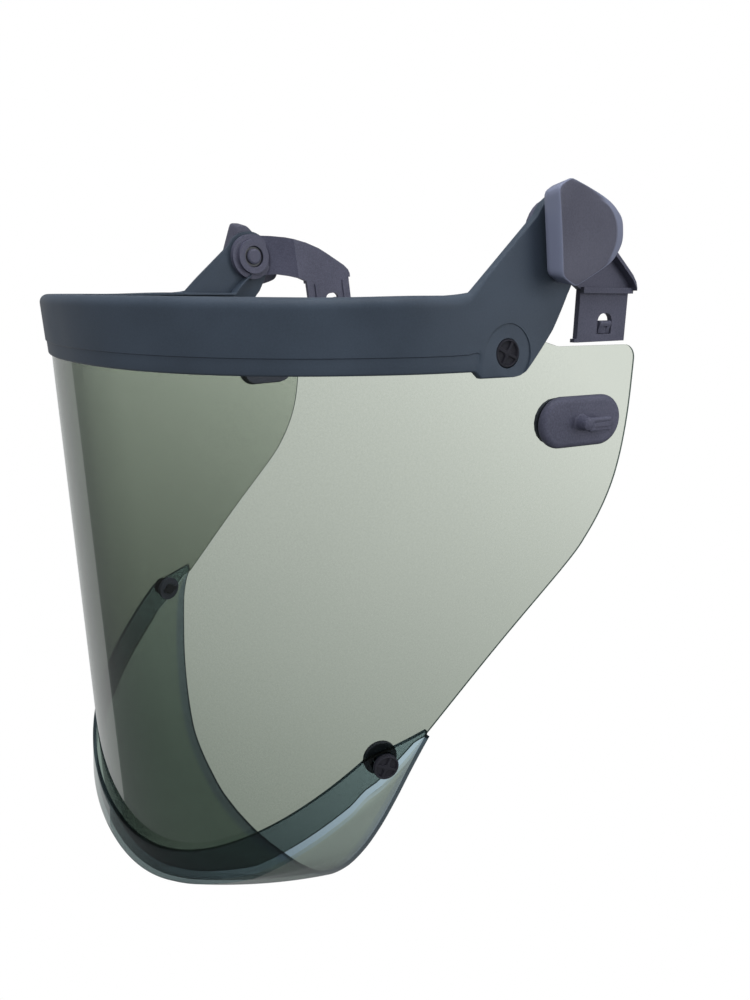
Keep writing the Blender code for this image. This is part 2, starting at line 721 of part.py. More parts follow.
# ------------------------------------------------------------------ studs and receptacles
def stud(name, seat, thick, reach):
    """Quarter-turn stud: head with four pockets, shank, and a cross bar behind the receptacle."""
    head = seat + thick
    obj = turned(name, [(-reach, STUD_R - 0.4 * MM), (-reach + 0.4 * MM, STUD_R), (seat, STUD_R),
                        (seat + 0.01 * MM, STUD_HEAD_R), (head - 0.7 * MM, STUD_HEAD_R),
                        (head, STUD_HEAD_R - 0.7 * MM)])
    for k in range(4):
        a = math.pi / 4 + k * math.pi / 2
        cut(obj, cylinder("pocket", 1.5 * MM, head - 0.7 * MM, head + 1 * MM, 2.5 * MM * math.cos(a),
                          2.5 * MM * math.sin(a), 10))
    bar = box("bar", (-reach, -reach + 1.2 * MM), (-4.6 * MM, 4.6 * MM), (-1.1 * MM, 1.1 * MM))
    join(obj, bar)
    return obj


def receptacle(name):
    inner = -WINDOW_THICK - GAP
    return ring(name, RECEPTACLE_R, STUD_R + GAP, inner - RECEPTACLE_THICK, inner)


# ------------------------------------------------------------------ hook plates
def rivet_holes(obj, depth):
    for sign in (1, -1):
        cut(obj, cylinder("hole", RIVET_R + GAP, -depth, depth, sign * RIVET_OFFSET, 0, 20))


def hook_plate(name):
    obj = stadium(name, HOOK_LONG, HOOK_TALL, GAP, GAP + HOOK_THICK)
    bevel(obj, 0.9 * MM)
    face = GAP + HOOK_THICK
    stem = turned("stem", [(face - 1 * MM, 3.1 * MM), (face + 5.0 * MM, 3.0 * MM), (face + 5.6 * MM, 2.4 * MM)],
                  20)
    transform(stem, Matrix.Translation((0, -1.5 * MM, 0)))
    join(obj, stem)
    finger = box("finger", (face + 3.0 * MM, face + 5.2 * MM), (-1.5 * MM, 10.5 * MM), (-3.4 * MM, 2.2 * MM))
    join(obj, finger)
    for sign in (1, -1):
        cut(obj, cylinder("hole", RIVET_R + GAP, -1 * MM, face - 0.8 * MM, sign * RIVET_OFFSET, 0, 20))
    return obj


def backing_plate(name):
    low = -WINDOW_THICK - GAP
    obj = stadium(name, HOOK_LONG - 2 * MM, HOOK_TALL - 2 * MM, low - BACKING_THICK, low)
    rivet_holes(obj, 8 * MM)
    return obj


def hook_rivet(name, offset):
    """Rivet from the backing plate into the hook plate."""
    head = -WINDOW_THICK - GAP - BACKING_THICK - GAP
    tip = GAP + HOOK_THICK - 0.8 * MM - GAP
    obj = turned(name, [(head - 1.0 * MM, 2.4 * MM), (head - 0.4 * MM, 3.3 * MM), (head, 3.4 * MM),
                        (head + 0.01 * MM, RIVET_R), (tip, RIVET_R)], 20)
    return transform(obj, Matrix.Translation((0, offset, 0)))


# ------------------------------------------------------------------ assembly
def place_on_window(objects, y, z):
    """Put a left and a right piece, made in the local frame, on the window at (y, z)."""
    left, right = objects
    left.matrix_world = stand(y, z)
    right.matrix_world = MIRROR_X @ stand(y, z) @ MIRROR_X


def hang_on(empty_name, point, turn, objects):
    """Parent pieces to an empty on their joint's axis, then turn the empty about X."""
    empty = bpy.data.objects.new(empty_name, None)
    PARTS.objects.link(empty)
    empty.location = point
    for obj in objects:
        obj.parent = empty
        obj.matrix_parent_inverse = Matrix.Translation(-Vector(point))
    empty.rotation_euler = (turn, 0, 0)
    return empty


def assemble():
    slate = material("brow_slate", (0.042, 0.058, 0.080), 0.55)
    purple_grey = material("adapter_grey", (0.082, 0.080, 0.108), 0.5)
    black = material("fastener_black", (0.02, 0.02, 0.026), 0.4)
    tint = material("window_tint", (0.45, 0.52, 0.44), 0.05, alpha=0.35)
    smoke = material("chin_smoke", (0.07, 0.11, 0.12), 0.12, alpha=0.75)
    steel = material("bolt_steel", (0.5, 0.5, 0.5), 0.3, 1.0)
    rubber = material("washer_rubber", (0.02, 0.02, 0.02), 0.8)

    paint(slate, brow_bracket())
    paint(tint, window())
    paint(smoke, chin_guard())

    adapters = both_sides(adapter, "adapter")
    tongues = both_sides(latch_tongue, "latch_tongue")
    knobs = both_sides(knob, "knob")
    nuts = both_sides(knob_nut, "knob_nut")
    bolts = both_sides(pivot_bolt, "pivot_bolt")
    springs = both_sides(spring_washer, "spring_washer")
    washers = both_sides(friction_washer, "friction_washer")
    paint(purple_grey, *adapters, *tongues, *knobs, *bolts)
    paint(steel, *nuts, *springs)
    paint(rubber, *washers)
    for i, side in enumerate(("left", "right")):
        sign = 1 - 2 * i
        hang_on(side + "_pivot", (sign * DISC_X[0], 0, 0), i * RIGHT_ADAPTER_TILT,
                [adapters[i], tongues[i], springs[i]])
        hang_on(side + "_knob_axis", (sign * KNOB_X[0], 0, 0), i * RIGHT_KNOB_TURN,
                [knobs[i], nuts[i]])

    brow_seat = SEAT_OUT + GAP
    chin_seat = CHIN_THICK + 2 * GAP + 0.4 * MM
    reach = WINDOW_THICK + 2 * GAP + RECEPTACLE_THICK + 1.3 * MM
    for base, seat, thick, spot in (("brow", brow_seat, BROW_HEAD_THICK, BROW_STUD),
                                    ("chin", chin_seat, CHIN_HEAD_THICK, CHIN_STUD)):
        studs = both_sides(lambda name: stud(name, seat, thick, reach), base + "_stud")
        cups = both_sides(receptacle, base + "_receptacle")
        place_on_window(studs, *spot)
        place_on_window(cups, *spot)
        paint(black, *studs)
        paint(purple_grey, *cups)

    plates = both_sides(hook_plate, "hook_plate")
    backs = both_sides(backing_plate, "backing_plate")
    front = both_sides(lambda name: hook_rivet(name, -RIVET_OFFSET), "hook_rivet_front")
    rear = both_sides(lambda name: hook_rivet(name, RIVET_OFFSET), "hook_rivet_rear")
    for pair in (plates, backs, front, rear):
        place_on_window(pair, *HOOK_CENTRE)
    paint(purple_grey, *plates, *backs)
    paint(steel, *front, *rear)


clear_scene()
PARTS = bpy.data.collections.new("face_shield")
bpy.context.scene.collection.children.link(PARTS)
assemble()
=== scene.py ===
"""Looks of the face shield: fine meshes, procedural materials, light and camera,
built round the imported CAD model.  Lengths are in metres in the CAD frame: the origin is
the middle of the pivot axis, +X the wearer's left, -Y forward and +Z up.
"""
import json
import math

import bmesh
import bpy
from mathutils import Matrix, Vector

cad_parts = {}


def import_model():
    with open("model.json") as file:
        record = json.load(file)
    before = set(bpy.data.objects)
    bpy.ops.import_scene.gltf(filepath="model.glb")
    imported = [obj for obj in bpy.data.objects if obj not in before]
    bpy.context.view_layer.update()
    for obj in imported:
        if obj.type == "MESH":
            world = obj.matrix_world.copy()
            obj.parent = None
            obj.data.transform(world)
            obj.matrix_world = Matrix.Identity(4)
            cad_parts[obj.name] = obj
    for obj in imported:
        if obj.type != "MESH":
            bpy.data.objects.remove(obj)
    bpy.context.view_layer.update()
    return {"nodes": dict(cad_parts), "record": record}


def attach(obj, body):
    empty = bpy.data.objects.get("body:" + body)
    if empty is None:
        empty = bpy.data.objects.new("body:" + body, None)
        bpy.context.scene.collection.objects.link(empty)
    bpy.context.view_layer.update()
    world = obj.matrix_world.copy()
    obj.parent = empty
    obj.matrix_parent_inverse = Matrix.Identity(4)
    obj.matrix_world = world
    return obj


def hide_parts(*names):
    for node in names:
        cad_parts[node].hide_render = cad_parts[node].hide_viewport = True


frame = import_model()

MM = 0.001
GAP = 0.3 * MM
MIRROR_X = Matrix.Diagonal((-1, 1, 1, 1))

# ---- window, seen from above ----
WINDOW_THICK = 1.5 * MM
WINDOW_SEEN_THICK = 0.8 * MM           # a thin edge reads as a line, as in clear plastic
PLAN_TOP_Z = -50 * MM
PLAN_LOW_Z = -235 * MM
FRONT_Y = -151.5 * MM
FRONT_LEAN = 3.5 * MM
SIDE_X = 121.5 * MM
SIDE_TAPER = 2 * MM
SIDE_Y = -55 * MM
FLARE = 0.155
BULGE_FRONT = 70 * MM
BULGE_SIDE = 64 * MM
CURVED_SHARE = 0.7
REAR_REACH = 110 * MM

# ---- window, seen from the side ----
WINDOW_TOP_Z = -30 * MM
WINDOW_STEP_Y = 0.0
WINDOW_SHOULDER_Z = -41.3 * MM
WINDOW_STEP_START_Y = -40 * MM
REAR_EDGE = [(41.3, -60), (41.1, -68), (40.4, -78), (38.9, -89), (36.2, -100),
             (31.6, -111), (24.6, -122.4), (14.5, -134.2), (-20, -166), (-55, -200)]
REAR_CORNER_R = 6 * MM
LOWER_EDGE_LIFT = 3 * MM             # the window's low edge hides behind the chin guard's band
LOWER_EDGE_DROP = 4 * MM
WINDOW_ROWS = 40
WINDOW_STEPS = 37                    # columns on the flat side, one for each 2 mm
WINDOW_CORNER_STEPS = 24             # columns towards the rear edge, closer and closer
WINDOW_FRONT_STEPS = 76              # columns on the curved front, in each half

# ---- brow bracket ----
ARM_FRONT = [(-54, -22.3), (-49, -21.8), (-45.1, -21.2), (-14.0, 6.7)]
ARM_REAR = [(-41.2, -49.5), (-38.6, -52), (-23.5, -52), (-20.6, -51.5), (-18.0, -50.1),
            (-15.6, -47.6), (-4.0, -35.0), (6.5, -20.8), (14.3, -6.0)]
BROW_TOP_Z = -23.3 * MM
BROW_LOW_Z = -49.5 * MM
BROW_OUT = 1.8 * MM                  # outer face above the lip, from the window
BROW_DRAFT = 1.2 * MM
ARM_BLEND_Z = (-50 * MM, -20.8 * MM)
SEAT_OUT = 1.2 * MM
BROW_SHELF = 10 * MM
LIP_Z = -45.2 * MM
LIP_DEPTH = 0.45 * MM
SIDE_OUT = 3.6 * MM                  # outer face of the lug, from the window
ARM_OUT_X = 128 * MM
ARM_THICK = 3 * MM
ARM_TOP_R = 15.5 * MM
SPOT_R = 11 * MM                     # tilted spot face round the brow stud
SPOT_OUT = 2.85 * MM
SPOT_TILT = math.radians(5)
SPOT_REACH = 9 * MM
BORE_R = 3.35 * MM
CROWN_RISE = 1.0 * MM                # the crown's top is this much lower in front
LEDGE_RISE = 0.9 * MM
EDGE_R = 0.9 * MM                    # rounding of the arm's upper edge
CROWN_EDGE_EXTRA = 3.1 * MM          # and what the crown's is rounded besides
FOOT_R = 0.9 * MM                    # rounding of the lower edge
ARM_WINDOW_REACH = 1.2 * MM          # the arm stays clear of the window up to here above it
SIDE_FROM_Y = -100 * MM              # the arm's outer face is worked out behind this depth
BRACKET_FRONT_STEPS = 64
BRACKET_SIDE_STEPS = 90
BRACKET_SIDE_STEP = 0.75
BRACKET_END_STEPS = 14

# Fades along the bracket's depth: where each begins, and its length towards the rear.
RISE_FADE = (-104 * MM, 50 * MM)     # the crown's top rises
LEDGE_FADE = (-100 * MM, 48 * MM)    # the shelf's top rises
SIDE_FADE = (-92 * MM, 40 * MM)      # the outer face goes over from crown to arm
TURN_FADE = (-70 * MM, 18 * MM)      # sections go over from square on the window to straight across
CROWN_EDGE_FADE = (-52 * MM, 17 * MM)    # the crown's wide rounding ends
ARM_FADE = (-52 * MM, 6 * MM)        # the shelf's section turns into the arm's
LIP_FADE = (-41.5 * MM, 3 * MM)      # the lip ends
SHELF_FADE = (-3 * MM, 9 * MM)       # the shelf ends

# ---- knob, studs, hook plates ----
KNOB_X = (129.6 * MM, 139.2 * MM)
RIGHT_KNOB_TURN = math.radians(-28)
STUD_HEAD_R = 5.3 * MM
HEAD_THICK = {"brow": 1.7 * MM, "chin": 2.2 * MM}
HEAD_SINK = 0.9 * MM
RIB_HALF = 0.55 * MM
RIB_TURN = 65                        # degrees
STUD_R = 3.0 * MM
STUD_TAIL = 1.3 * MM                 # the shank's reach behind the receptacle
FINE_EDGE = 0.12 * MM
RECEPTACLE_THICK = 2.2 * MM
BROW_STUD = (-26.5 * MM, -43 * MM)
CHIN_STUD = (-73.7 * MM, -206.3 * MM)
HOOK_CENTRE = (13 * MM, -71.6 * MM)
HOOK_LONG = 42 * MM
HOOK_TALL = 21 * MM
HOOK_THICK = 3.4 * MM
RIVET_OFFSET = 11.5 * MM
RIVET_R = 1.8 * MM

# ---- latch tongue ----
BLADE_X = (111.3 * MM, 113.7 * MM)
SLOT_Y = 49.8 * MM
SLOT_LOW_Z = -38.4 * MM
TONGUE_HALF = 3.9 * MM
TONGUE_TOP_Z = -32.6 * MM
RIGHT_ADAPTER_TILT = math.radians(8.5)

# ---- chin guard ----
CHIN_THICK = 1.8 * MM
CHIN_TIP_Y = -55 * MM
CHIN_KNEE_Y = -81 * MM              # the upper edge is almost level from the tip as far as here
CHIN_TIP_Z = -196 * MM
CHIN_KNEE_Z = -202.6 * MM
CHIN_SLOPE = 0.84                   # fall of the upper edge in front of the knee
CHIN_DIP = 8 * MM                   # and what it falls besides towards the very front
CHIN_BAND = [(-54, 3), (-58.4, 6.3), (-68, 12.5), (-75, 17.3), (-86, 21), (-119, 20.5),
             (-130, 17), (-140, 15), (-152, 14.5)]      # (depth, height of the band)
CHIN_STAND_OUT = 2.6 * MM           # the fold stands out from the band's upper edge in front
CHIN_LEDGE = 1.2 * MM               # the upper edge is this much further out in front
CHIN_EDGE = 0.4 * MM
CHIN_SAG = 3 * MM                   # the under side hangs below the line from fold to rim
CHIN_RIM = [(122, -54, -199), (121, -57.2, -205), (118.4, -60.8, -215), (113.5, -64.2, -230),
            (107, -67.8, -247), (99, -71, -263), (89, -74, -277.5), (76, -77, -289.5),
            (60, -79.2, -296), (40, -81.8, -298.7), (20, -84.2, -299.5), (0, -85, -299.5)]


# ------------------------------------------------------------------ geometry helpers
def bezier(a, b, c, d, t):
    """Point at t on a cubic curve from a to d."""
    s = 1 - t
    return a * s**3 + b * 3 * s * s * t + c * 3 * s * t * t + d * t**3


def smooth(t):
    """Ease from 0 to 1, flat at both ends and beyond them."""
    t = min(max(t, 0.0), 1.0)
    return t * t * (3 - 2 * t)


def half_plan(u, z):
    """Point of the window's outer surface in the half at +X, for u from 0 to 1."""
    k = max((PLAN_TOP_Z - z) / (PLAN_TOP_Z - PLAN_LOW_Z), 0)
    side = Vector((SIDE_X - SIDE_TAPER * k, SIDE_Y))
    along = Vector((FLARE, 1)).normalized()
    if u > CURVED_SHARE:
        return side + Vector((FLARE, 1)) * ((u - CURVED_SHARE) / (1 - CURVED_SHARE) * REAR_REACH)
    front = Vector((0, FRONT_Y + FRONT_LEAN * k))
    return bezier(front, front + Vector((BULGE_FRONT, 0)), side - along * BULGE_SIDE, side,
                  u / CURVED_SHARE)


def plan_normal(u, z):
    """Outward direction of the window's surface, seen from above."""
    step = 0.002
    run = (half_plan(u + step, z) - half_plan(max(u - step, 0), z)).normalized()
    return Vector((run.y, -run.x))


def wall(u, z, out=0.0):
    """Point of the half at +X at distance out from the window's outer surface."""
    p = half_plan(u, z) + plan_normal(u, z) * out
    return Vector((p.x, p.y, z))


def u_at(y, z):
    """Place along the half plan at depth y."""
    low, high = 0.0, 1.0
    for _ in range(40):
        mid = (low + high) / 2
        if half_plan(mid, z).y < y:
            low = mid
        else:
            high = mid
    return low


def stand(y, z):
    """Matrix from a local frame, with X as the outward normal, to the window at (y, z)."""
    u = u_at(y, z)
    normal = plan_normal(u, z)
    turn = Matrix.Rotation(math.atan2(normal.y, normal.x), 4, "Z")
    return Matrix.Translation(wall(u, z)) @ turn


def interpolate(points, y):
    """Height on an outline of (depth, height) points that runs from rear to front."""
    for (y0, z0), (y1, z1) in zip(points, points[1:]):
        if min(y0, y1) <= y <= max(y0, y1) and y0 != y1:
            return z0 + (z1 - z0) * (y - y0) / (y1 - y0)
    return points[0][1] if y > points[0][0] else points[-1][1]


def spline(points, steps=8):
    """Catmull-Rom curve through points."""
    found = []
    ends = [Vector(p) for p in points]
    ends = [ends[0] * 2 - ends[1]] + ends + [ends[-1] * 2 - ends[-2]]
    for a, b, c, d in zip(ends, ends[1:], ends[2:], ends[3:]):
        for i in range(steps):
            t = i / steps
            found.append((b * 2 + (c - a) * t + (a * 2 - b * 5 + c * 4 - d) * t**2
                          + (b * 3 - a - c * 3 + d) * t**3) / 2)
    found.append(Vector(points[-1]))
    return found


def new_object(name, bm, angle=35):
    """Object made from bm, smooth except where faces meet at more than angle degrees."""
    bmesh.ops.recalc_face_normals(bm, faces=bm.faces)
    mesh = bpy.data.meshes.new(name)
    bm.to_mesh(mesh)
    bm.free()
    mesh.shade_smooth()
    mesh.set_sharp_from_angle(angle=math.radians(angle))
    obj = bpy.data.objects.new(name, mesh)
    bpy.context.scene.collection.objects.link(obj)
    return obj


def loft(name, rings, angle=35):
    """Closed solid through rings with the same number of points."""
    bm = bmesh.new()
    loops = [[bm.verts.new(p) for p in ring] for ring in rings]
    count = len(rings[0])
    for low, high in zip(loops, loops[1:]):
        for i in range(count):
            j = (i + 1) % count
            bm.faces.new((low[i], low[j], high[j], high[i]))
    bm.faces.new(loops[0][::-1])
    bm.faces.new(loops[-1])
    return new_object(name, bm, angle)


def sheet(name, columns, thickness, slots, row_slots=None):
    """Grid of points on an outer surface, thickened inwards.  Faces of grid row i take material
    slot row_slots[i]; the narrow faces round the rim take the last of the slots."""
    bm = bmesh.new()
    lines = [[bm.verts.new(p) for p in column] for column in columns]
    for left, right in zip(lines, lines[1:]):
        for i in range(len(left) - 1):
            face = bm.faces.new((left[i], right[i], right[i + 1], left[i + 1]))
            face.material_index = row_slots[i] if row_slots else 0
    mesh = bpy.data.meshes.new(name)
    bm.to_mesh(mesh)
    bm.free()
    for _ in range(slots):
        mesh.materials.append(None)
    obj = bpy.data.objects.new(name, mesh)
    bpy.context.scene.collection.objects.link(obj)
    solid = obj.modifiers.new("Thickness", "SOLIDIFY")
    solid.thickness = thickness
    solid.offset = -1
    solid.use_even_offset = True
    solid.material_offset_rim = slots
    bake_modifiers(obj)
    return obj


def bake_modifiers(obj):
    """Replace the mesh by what its modifiers make of it."""
    bpy.context.view_layer.update()
    evaluated = obj.evaluated_get(bpy.context.evaluated_depsgraph_get())
    mesh = bpy.data.meshes.new_from_object(evaluated)
    obj.modifiers.clear()
    obj.data = mesh
    mesh.shade_smooth()
    mesh.set_sharp_from_angle(angle=math.radians(35))
    return obj


def combine(target, tool, operation="DIFFERENCE"):
    """Cut the tool out of the target, or join the two."""
    mod = target.modifiers.new("Boolean", "BOOLEAN")
    mod.operation = operation
    mod.solver = "EXACT"
    mod.object = tool
    bake_modifiers(target)
    bpy.data.objects.remove(tool, do_unlink=True)
    return target


def rounded(obj, width, segments=3, angle=40):
    """Round the edges where faces meet at more than angle degrees."""
    mod = obj.modifiers.new("Edges", "BEVEL")
    mod.width = width
    mod.segments = segments
    mod.limit_method = "ANGLE"
    mod.angle_limit = math.radians(angle)
    return bake_modifiers(obj)


def cylinder(name, radius, x0, x1, y=0.0, segments=48):
    """Cylinder along X."""
    bm = bmesh.new()
    turn = Matrix.Translation(((x0 + x1) / 2, y, 0)) @ Matrix.Rotation(math.pi / 2, 4, "Y")
    bmesh.ops.create_cone(bm, cap_ends=True, segments=segments, radius1=radius, radius2=radius,
                          depth=abs(x1 - x0), matrix=turn)
    return new_object(name, bm)


def box(name, xs, ys, zs):
    bm = bmesh.new()
    size = Matrix.Diagonal((xs[1] - xs[0], ys[1] - ys[0], zs[1] - zs[0], 1))
    centre = Matrix.Translation((sum(xs) / 2, sum(ys) / 2, sum(zs) / 2))
    bmesh.ops.create_cube(bm, size=1, matrix=centre @ size)
    return new_object(name, bm)


def turned(name, profile, segments=48):
    """Solid of revolution about X through (x, radius) points."""
    rings = [[Vector((x, r * math.cos(2 * math.pi * i / segments),
                      r * math.sin(2 * math.pi * i / segments))) for i in range(segments)]
             for x, r in profile]
    return loft(name, rings)


def moved(obj, matrix):
    obj.data.transform(matrix)
    if matrix.determinant() < 0:
        obj.data.flip_normals()
    return obj


def mirror_copy(obj, name):
    """Mirror image of a left-hand piece."""
    copy = bpy.data.objects.new(name, obj.data.copy())
    bpy.context.scene.collection.objects.link(copy)
    return moved(copy, MIRROR_X)


def half_and_mirror(columns):
    """Columns of the half at +X, from rear to middle, continued to the rear at -X."""
    return columns + [[MIRROR_X @ p for p in column] for column in columns[-2::-1]]


# ------------------------------------------------------------------ window
def chin_upper_z(y):
    """Upper edge of the chin guard at depth y."""
    if y > CHIN_KNEE_Y:
        share = (CHIN_TIP_Y - y) / (CHIN_TIP_Y - CHIN_KNEE_Y)
        return CHIN_TIP_Z + (CHIN_KNEE_Z - CHIN_TIP_Z) * share
    ahead = CHIN_KNEE_Y - y
    return CHIN_KNEE_Z - CHIN_SLOPE * ahead - CHIN_DIP * (ahead / (CHIN_KNEE_Y - FRONT_Y))**4


def window_top_z(y):
    if y < WINDOW_STEP_START_Y:
        return WINDOW_TOP_Z
    share = min((y - WINDOW_STEP_START_Y) / (WINDOW_STEP_Y - WINDOW_STEP_START_Y), 1)
    return WINDOW_TOP_Z + (WINDOW_SHOULDER_Z - WINDOW_TOP_Z) * share


def window_low_z(y):
    """Lower edge of the window at depth y, behind the chin guard."""
    band = interpolate(CHIN_BAND, y / MM) * MM
    return chin_upper_z(y) - max(band - LOWER_EDGE_LIFT, LOWER_EDGE_DROP)


def window_columns():
    """Columns of points from the upper edge to the lower one, rear edge to rear edge."""
    rows, corner = WINDOW_ROWS, WINDOW_CORNER_STEPS
    rear = [(p.x * MM, p.y * MM) for p in spline(REAR_EDGE)]
    last = rear[0][0]
    depths = [SIDE_Y + i * 2 * MM for i in range(1, WINDOW_STEPS + 1)]
    depths += [last - (last - depths[-1] - 2 * MM) * (1 - math.sin(math.pi / 2 * i / corner))
               for i in range(corner + 1)]
    columns = []
    for y in sorted(set(depths), reverse=True):
        top = window_top_z(y)
        into_corner = y - (last - REAR_CORNER_R)
        if into_corner > 0:
            top -= REAR_CORNER_R - math.sqrt(max(REAR_CORNER_R**2 - into_corner**2, 0))
        low = interpolate(rear, y)
        columns.append([(y, top + (low - top) * j / rows) for j in range(rows + 1)])
    points = [[wall(u_at(y, z), z) for y, z in column] for column in columns]
    for i in range(WINDOW_FRONT_STEPS + 1):
        u = CURVED_SHARE * (1 - i / WINDOW_FRONT_STEPS)
        low = window_low_z(half_plan(u, PLAN_LOW_Z).y)
        points.append([wall(u, WINDOW_TOP_Z + (low - WINDOW_TOP_Z) * j / rows)
                       for j in range(rows + 1)])
    return half_and_mirror(points)


def window():
    obj = sheet("window_sheet", window_columns(), WINDOW_SEEN_THICK, 2)
    holes = [(stand(*BROW_STUD), STUD_R + 2 * GAP), (stand(*CHIN_STUD), STUD_R + 2 * GAP)]
    for sign in (1, -1):
        offset = Matrix.Translation((0, sign * RIVET_OFFSET, 0))
        holes.append((stand(*HOOK_CENTRE) @ offset, RIVET_R + GAP))
    for matrix, radius in holes:
        for flip in (Matrix.Identity(4), MIRROR_X):
            combine(obj, moved(cylinder("hole", radius, -5 * MM, 5 * MM), flip @ matrix))
    return obj


# ------------------------------------------------------------------ brow bracket
def fade(y, start, length):
    """From 0 at depth start to 1 at a length further to the rear."""
    return smooth((y - start) / length)


def top_z(y):
    """Upper edge of the bracket at depth y."""
    h = y / MM
    if h < ARM_FRONT[0][0]:
        return BROW_TOP_Z + CROWN_RISE * fade(y, *RISE_FADE)
    if h > ARM_FRONT[-1][0]:
        return math.sqrt(max(ARM_TOP_R**2 - y * y, 0))
    return interpolate(ARM_FRONT, h) * MM


def low_z(y):
    """Lower edge of the bracket at depth y."""
    h = y / MM
    if h < ARM_REAR[0][0]:
        return BROW_LOW_Z
    if h > ARM_REAR[-1][0]:
        return -math.sqrt(max(ARM_TOP_R**2 - y * y, 0))
    return interpolate(ARM_REAR, h) * MM


def skin(u, y, z):
    """Distance of the bracket's outer face from the window, before its edges are rounded."""
    crown = BROW_OUT + BROW_DRAFT * (z - BROW_LOW_Z) / (BROW_TOP_Z - BROW_LOW_Z)
    normal = plan_normal(u, PLAN_TOP_Z)
    rise = min(max((z - ARM_BLEND_Z[0]) / (ARM_BLEND_Z[1] - ARM_BLEND_Z[0]), 0), 1)
    x_low = wall(u, PLAN_TOP_Z, SIDE_OUT).x
    side = 0
    if y > SIDE_FROM_Y:
        side = (x_low + (ARM_OUT_X - x_low) * rise - half_plan(u, PLAN_TOP_Z).x) / normal.x
    return crown + (side - crown) * fade(y, *SIDE_FADE)


def edge_drop(distance, radius):
    """How far a rounded edge has fallen at a distance from it."""
    if distance >= radius:
        return 0.0
    return radius - math.sqrt(max(radius**2 - (radius - distance)**2, 0))


def bracket_point(u, y, z, out):
    """Point at a distance out from the window's outer surface, at its full height."""
    p = half_plan(u, PLAN_TOP_Z)
    n = plan_normal(u, PLAN_TOP_Z)
    keep = 1 - fade(y, *TURN_FADE)
    return Vector((p.x + n.x * out, p.y + n.y * out * keep, z))


def bracket_section(u, y):
    """Closed section of the bracket: up its outer face, over the top and down the inside."""
    top, low = top_z(y), low_z(y)
    height = top - low
    edge = min(EDGE_R + CROWN_EDGE_EXTRA * (1 - fade(y, *CROWN_EDGE_FADE)), height * 0.45)
    foot = min(FOOT_R, height * 0.3)
    lip = LIP_DEPTH * (1 - fade(y, *LIP_FADE))
    outer = []
    heights = [low + foot * (1 - math.cos(math.pi / 2 * r)) for r in (0, 0.25, 0.5, 0.75, 1)]
    step = min(max(LIP_Z, low + foot + 0.2 * height), top - edge - 0.3 * height)
    heights += [low + foot + (step - 0.25 * MM - low - foot) * t for t in (0.5, 1)]
    heights += [step + 0.1 * MM]
    heights += [step + 0.1 * MM + (top - edge - step - 0.1 * MM) * i / 14 for i in range(1, 15)]
    heights += [top - edge + edge * math.sin(math.pi / 2 * i / 8) for i in range(1, 9)]
    for z in heights:
        out = skin(u, y, z) - edge_drop(top - z, edge) - edge_drop(z - low, foot)
        if z < step:
            out -= lip
        outer.append(bracket_point(u, y, z, out))
    arm = fade(y, *ARM_FADE)

    def inside(z):
        thick = skin(u, y, z) - ARM_THICK
        if z < window_top_z(y) + ARM_WINDOW_REACH:
            thick = max(thick, GAP)
        return GAP + (thick - GAP) * arm

    shelf = BROW_SHELF * (1 - fade(y, *SHELF_FADE))
    ledge = min(BROW_TOP_Z + LEDGE_RISE * fade(y, *LEDGE_FADE), top)
    ledge = max(ledge, low + height * 0.45)
    back_from = top if arm > 0 else ledge
    inner = []
    for i in range(13):
        z = back_from + (ledge - back_from) * i / 12
        flat = (skin(u, y, top) - edge) * (1 - i / 12) - 0.5 * shelf * (i / 12)
        inner.append(bracket_point(u, y, z, flat + (inside(z) - flat) * arm))
    here = inside(ledge)
    rim = min(here, -shelf) if shelf > 0.05 * MM else here
    inner.append(bracket_point(u, y, ledge, rim + (0.3 * MM if rim < here else 0)))
    inner.append(bracket_point(u, y, ledge - min(0.3 * MM, 0.02 * height), rim))
    inner.append(bracket_point(u, y, ledge - min(1.2 * MM, 0.06 * height), rim))
    inner.append(bracket_point(u, y, ledge - min(2.2 * MM, 0.12 * height), here))
    under = ledge - min(3.0 * MM, 0.16 * height)
    for i in range(9):
        z = under + (low - under) * i / 8
        inner.append(bracket_point(u, y, z, inside(z)))
    return outer + inner


def brow_bracket():
    stations = []
    side_u = u_at(SIDE_Y, PLAN_TOP_Z)
    for i in range(BRACKET_FRONT_STEPS):
        u = side_u * i / BRACKET_FRONT_STEPS
        stations.append((u, half_plan(u, PLAN_TOP_Z).y))
    depths = [SIDE_Y / MM + BRACKET_SIDE_STEP * i for i in range(BRACKET_SIDE_STEPS)]
    end = ARM_TOP_R / MM
    depths += [end - (end - depths[-1]) * (1 - math.sin(math.pi / 2 * i / BRACKET_END_STEPS))
               for i in range(1, BRACKET_END_STEPS)]
    for h in depths:
        stations.append((u_at(h * MM, PLAN_TOP_Z), h * MM))
    half = [bracket_section(u, y) for u, y in stations[::-1]]
    rings = half + [[MIRROR_X @ p for p in ring] for ring in half[-2::-1]]
    obj = loft("brow_band", rings, 30)
    tilt = Matrix.Translation((SPOT_OUT, 0, 0)) @ Matrix.Rotation(SPOT_TILT, 4, Vector((0, -1, 1)))
    lug = stand(*BROW_STUD)
    for flip in (Matrix.Identity(4), MIRROR_X):
        spot = cylinder("spot", SPOT_R, 0, SPOT_REACH, segments=96)
        combine(obj, moved(spot, flip @ lug @ tilt))
        seat = cylinder("seat", STUD_HEAD_R + GAP, SEAT_OUT, SPOT_REACH, segments=64)
        combine(obj, moved(seat, flip @ lug))
        combine(obj, moved(cylinder("bore", BORE_R, 110 * MM, 135 * MM), flip))
        combine(obj, moved(cylinder("bore", STUD_R + 2 * GAP, -4 * MM, 8 * MM), flip @ lug))
    return obj


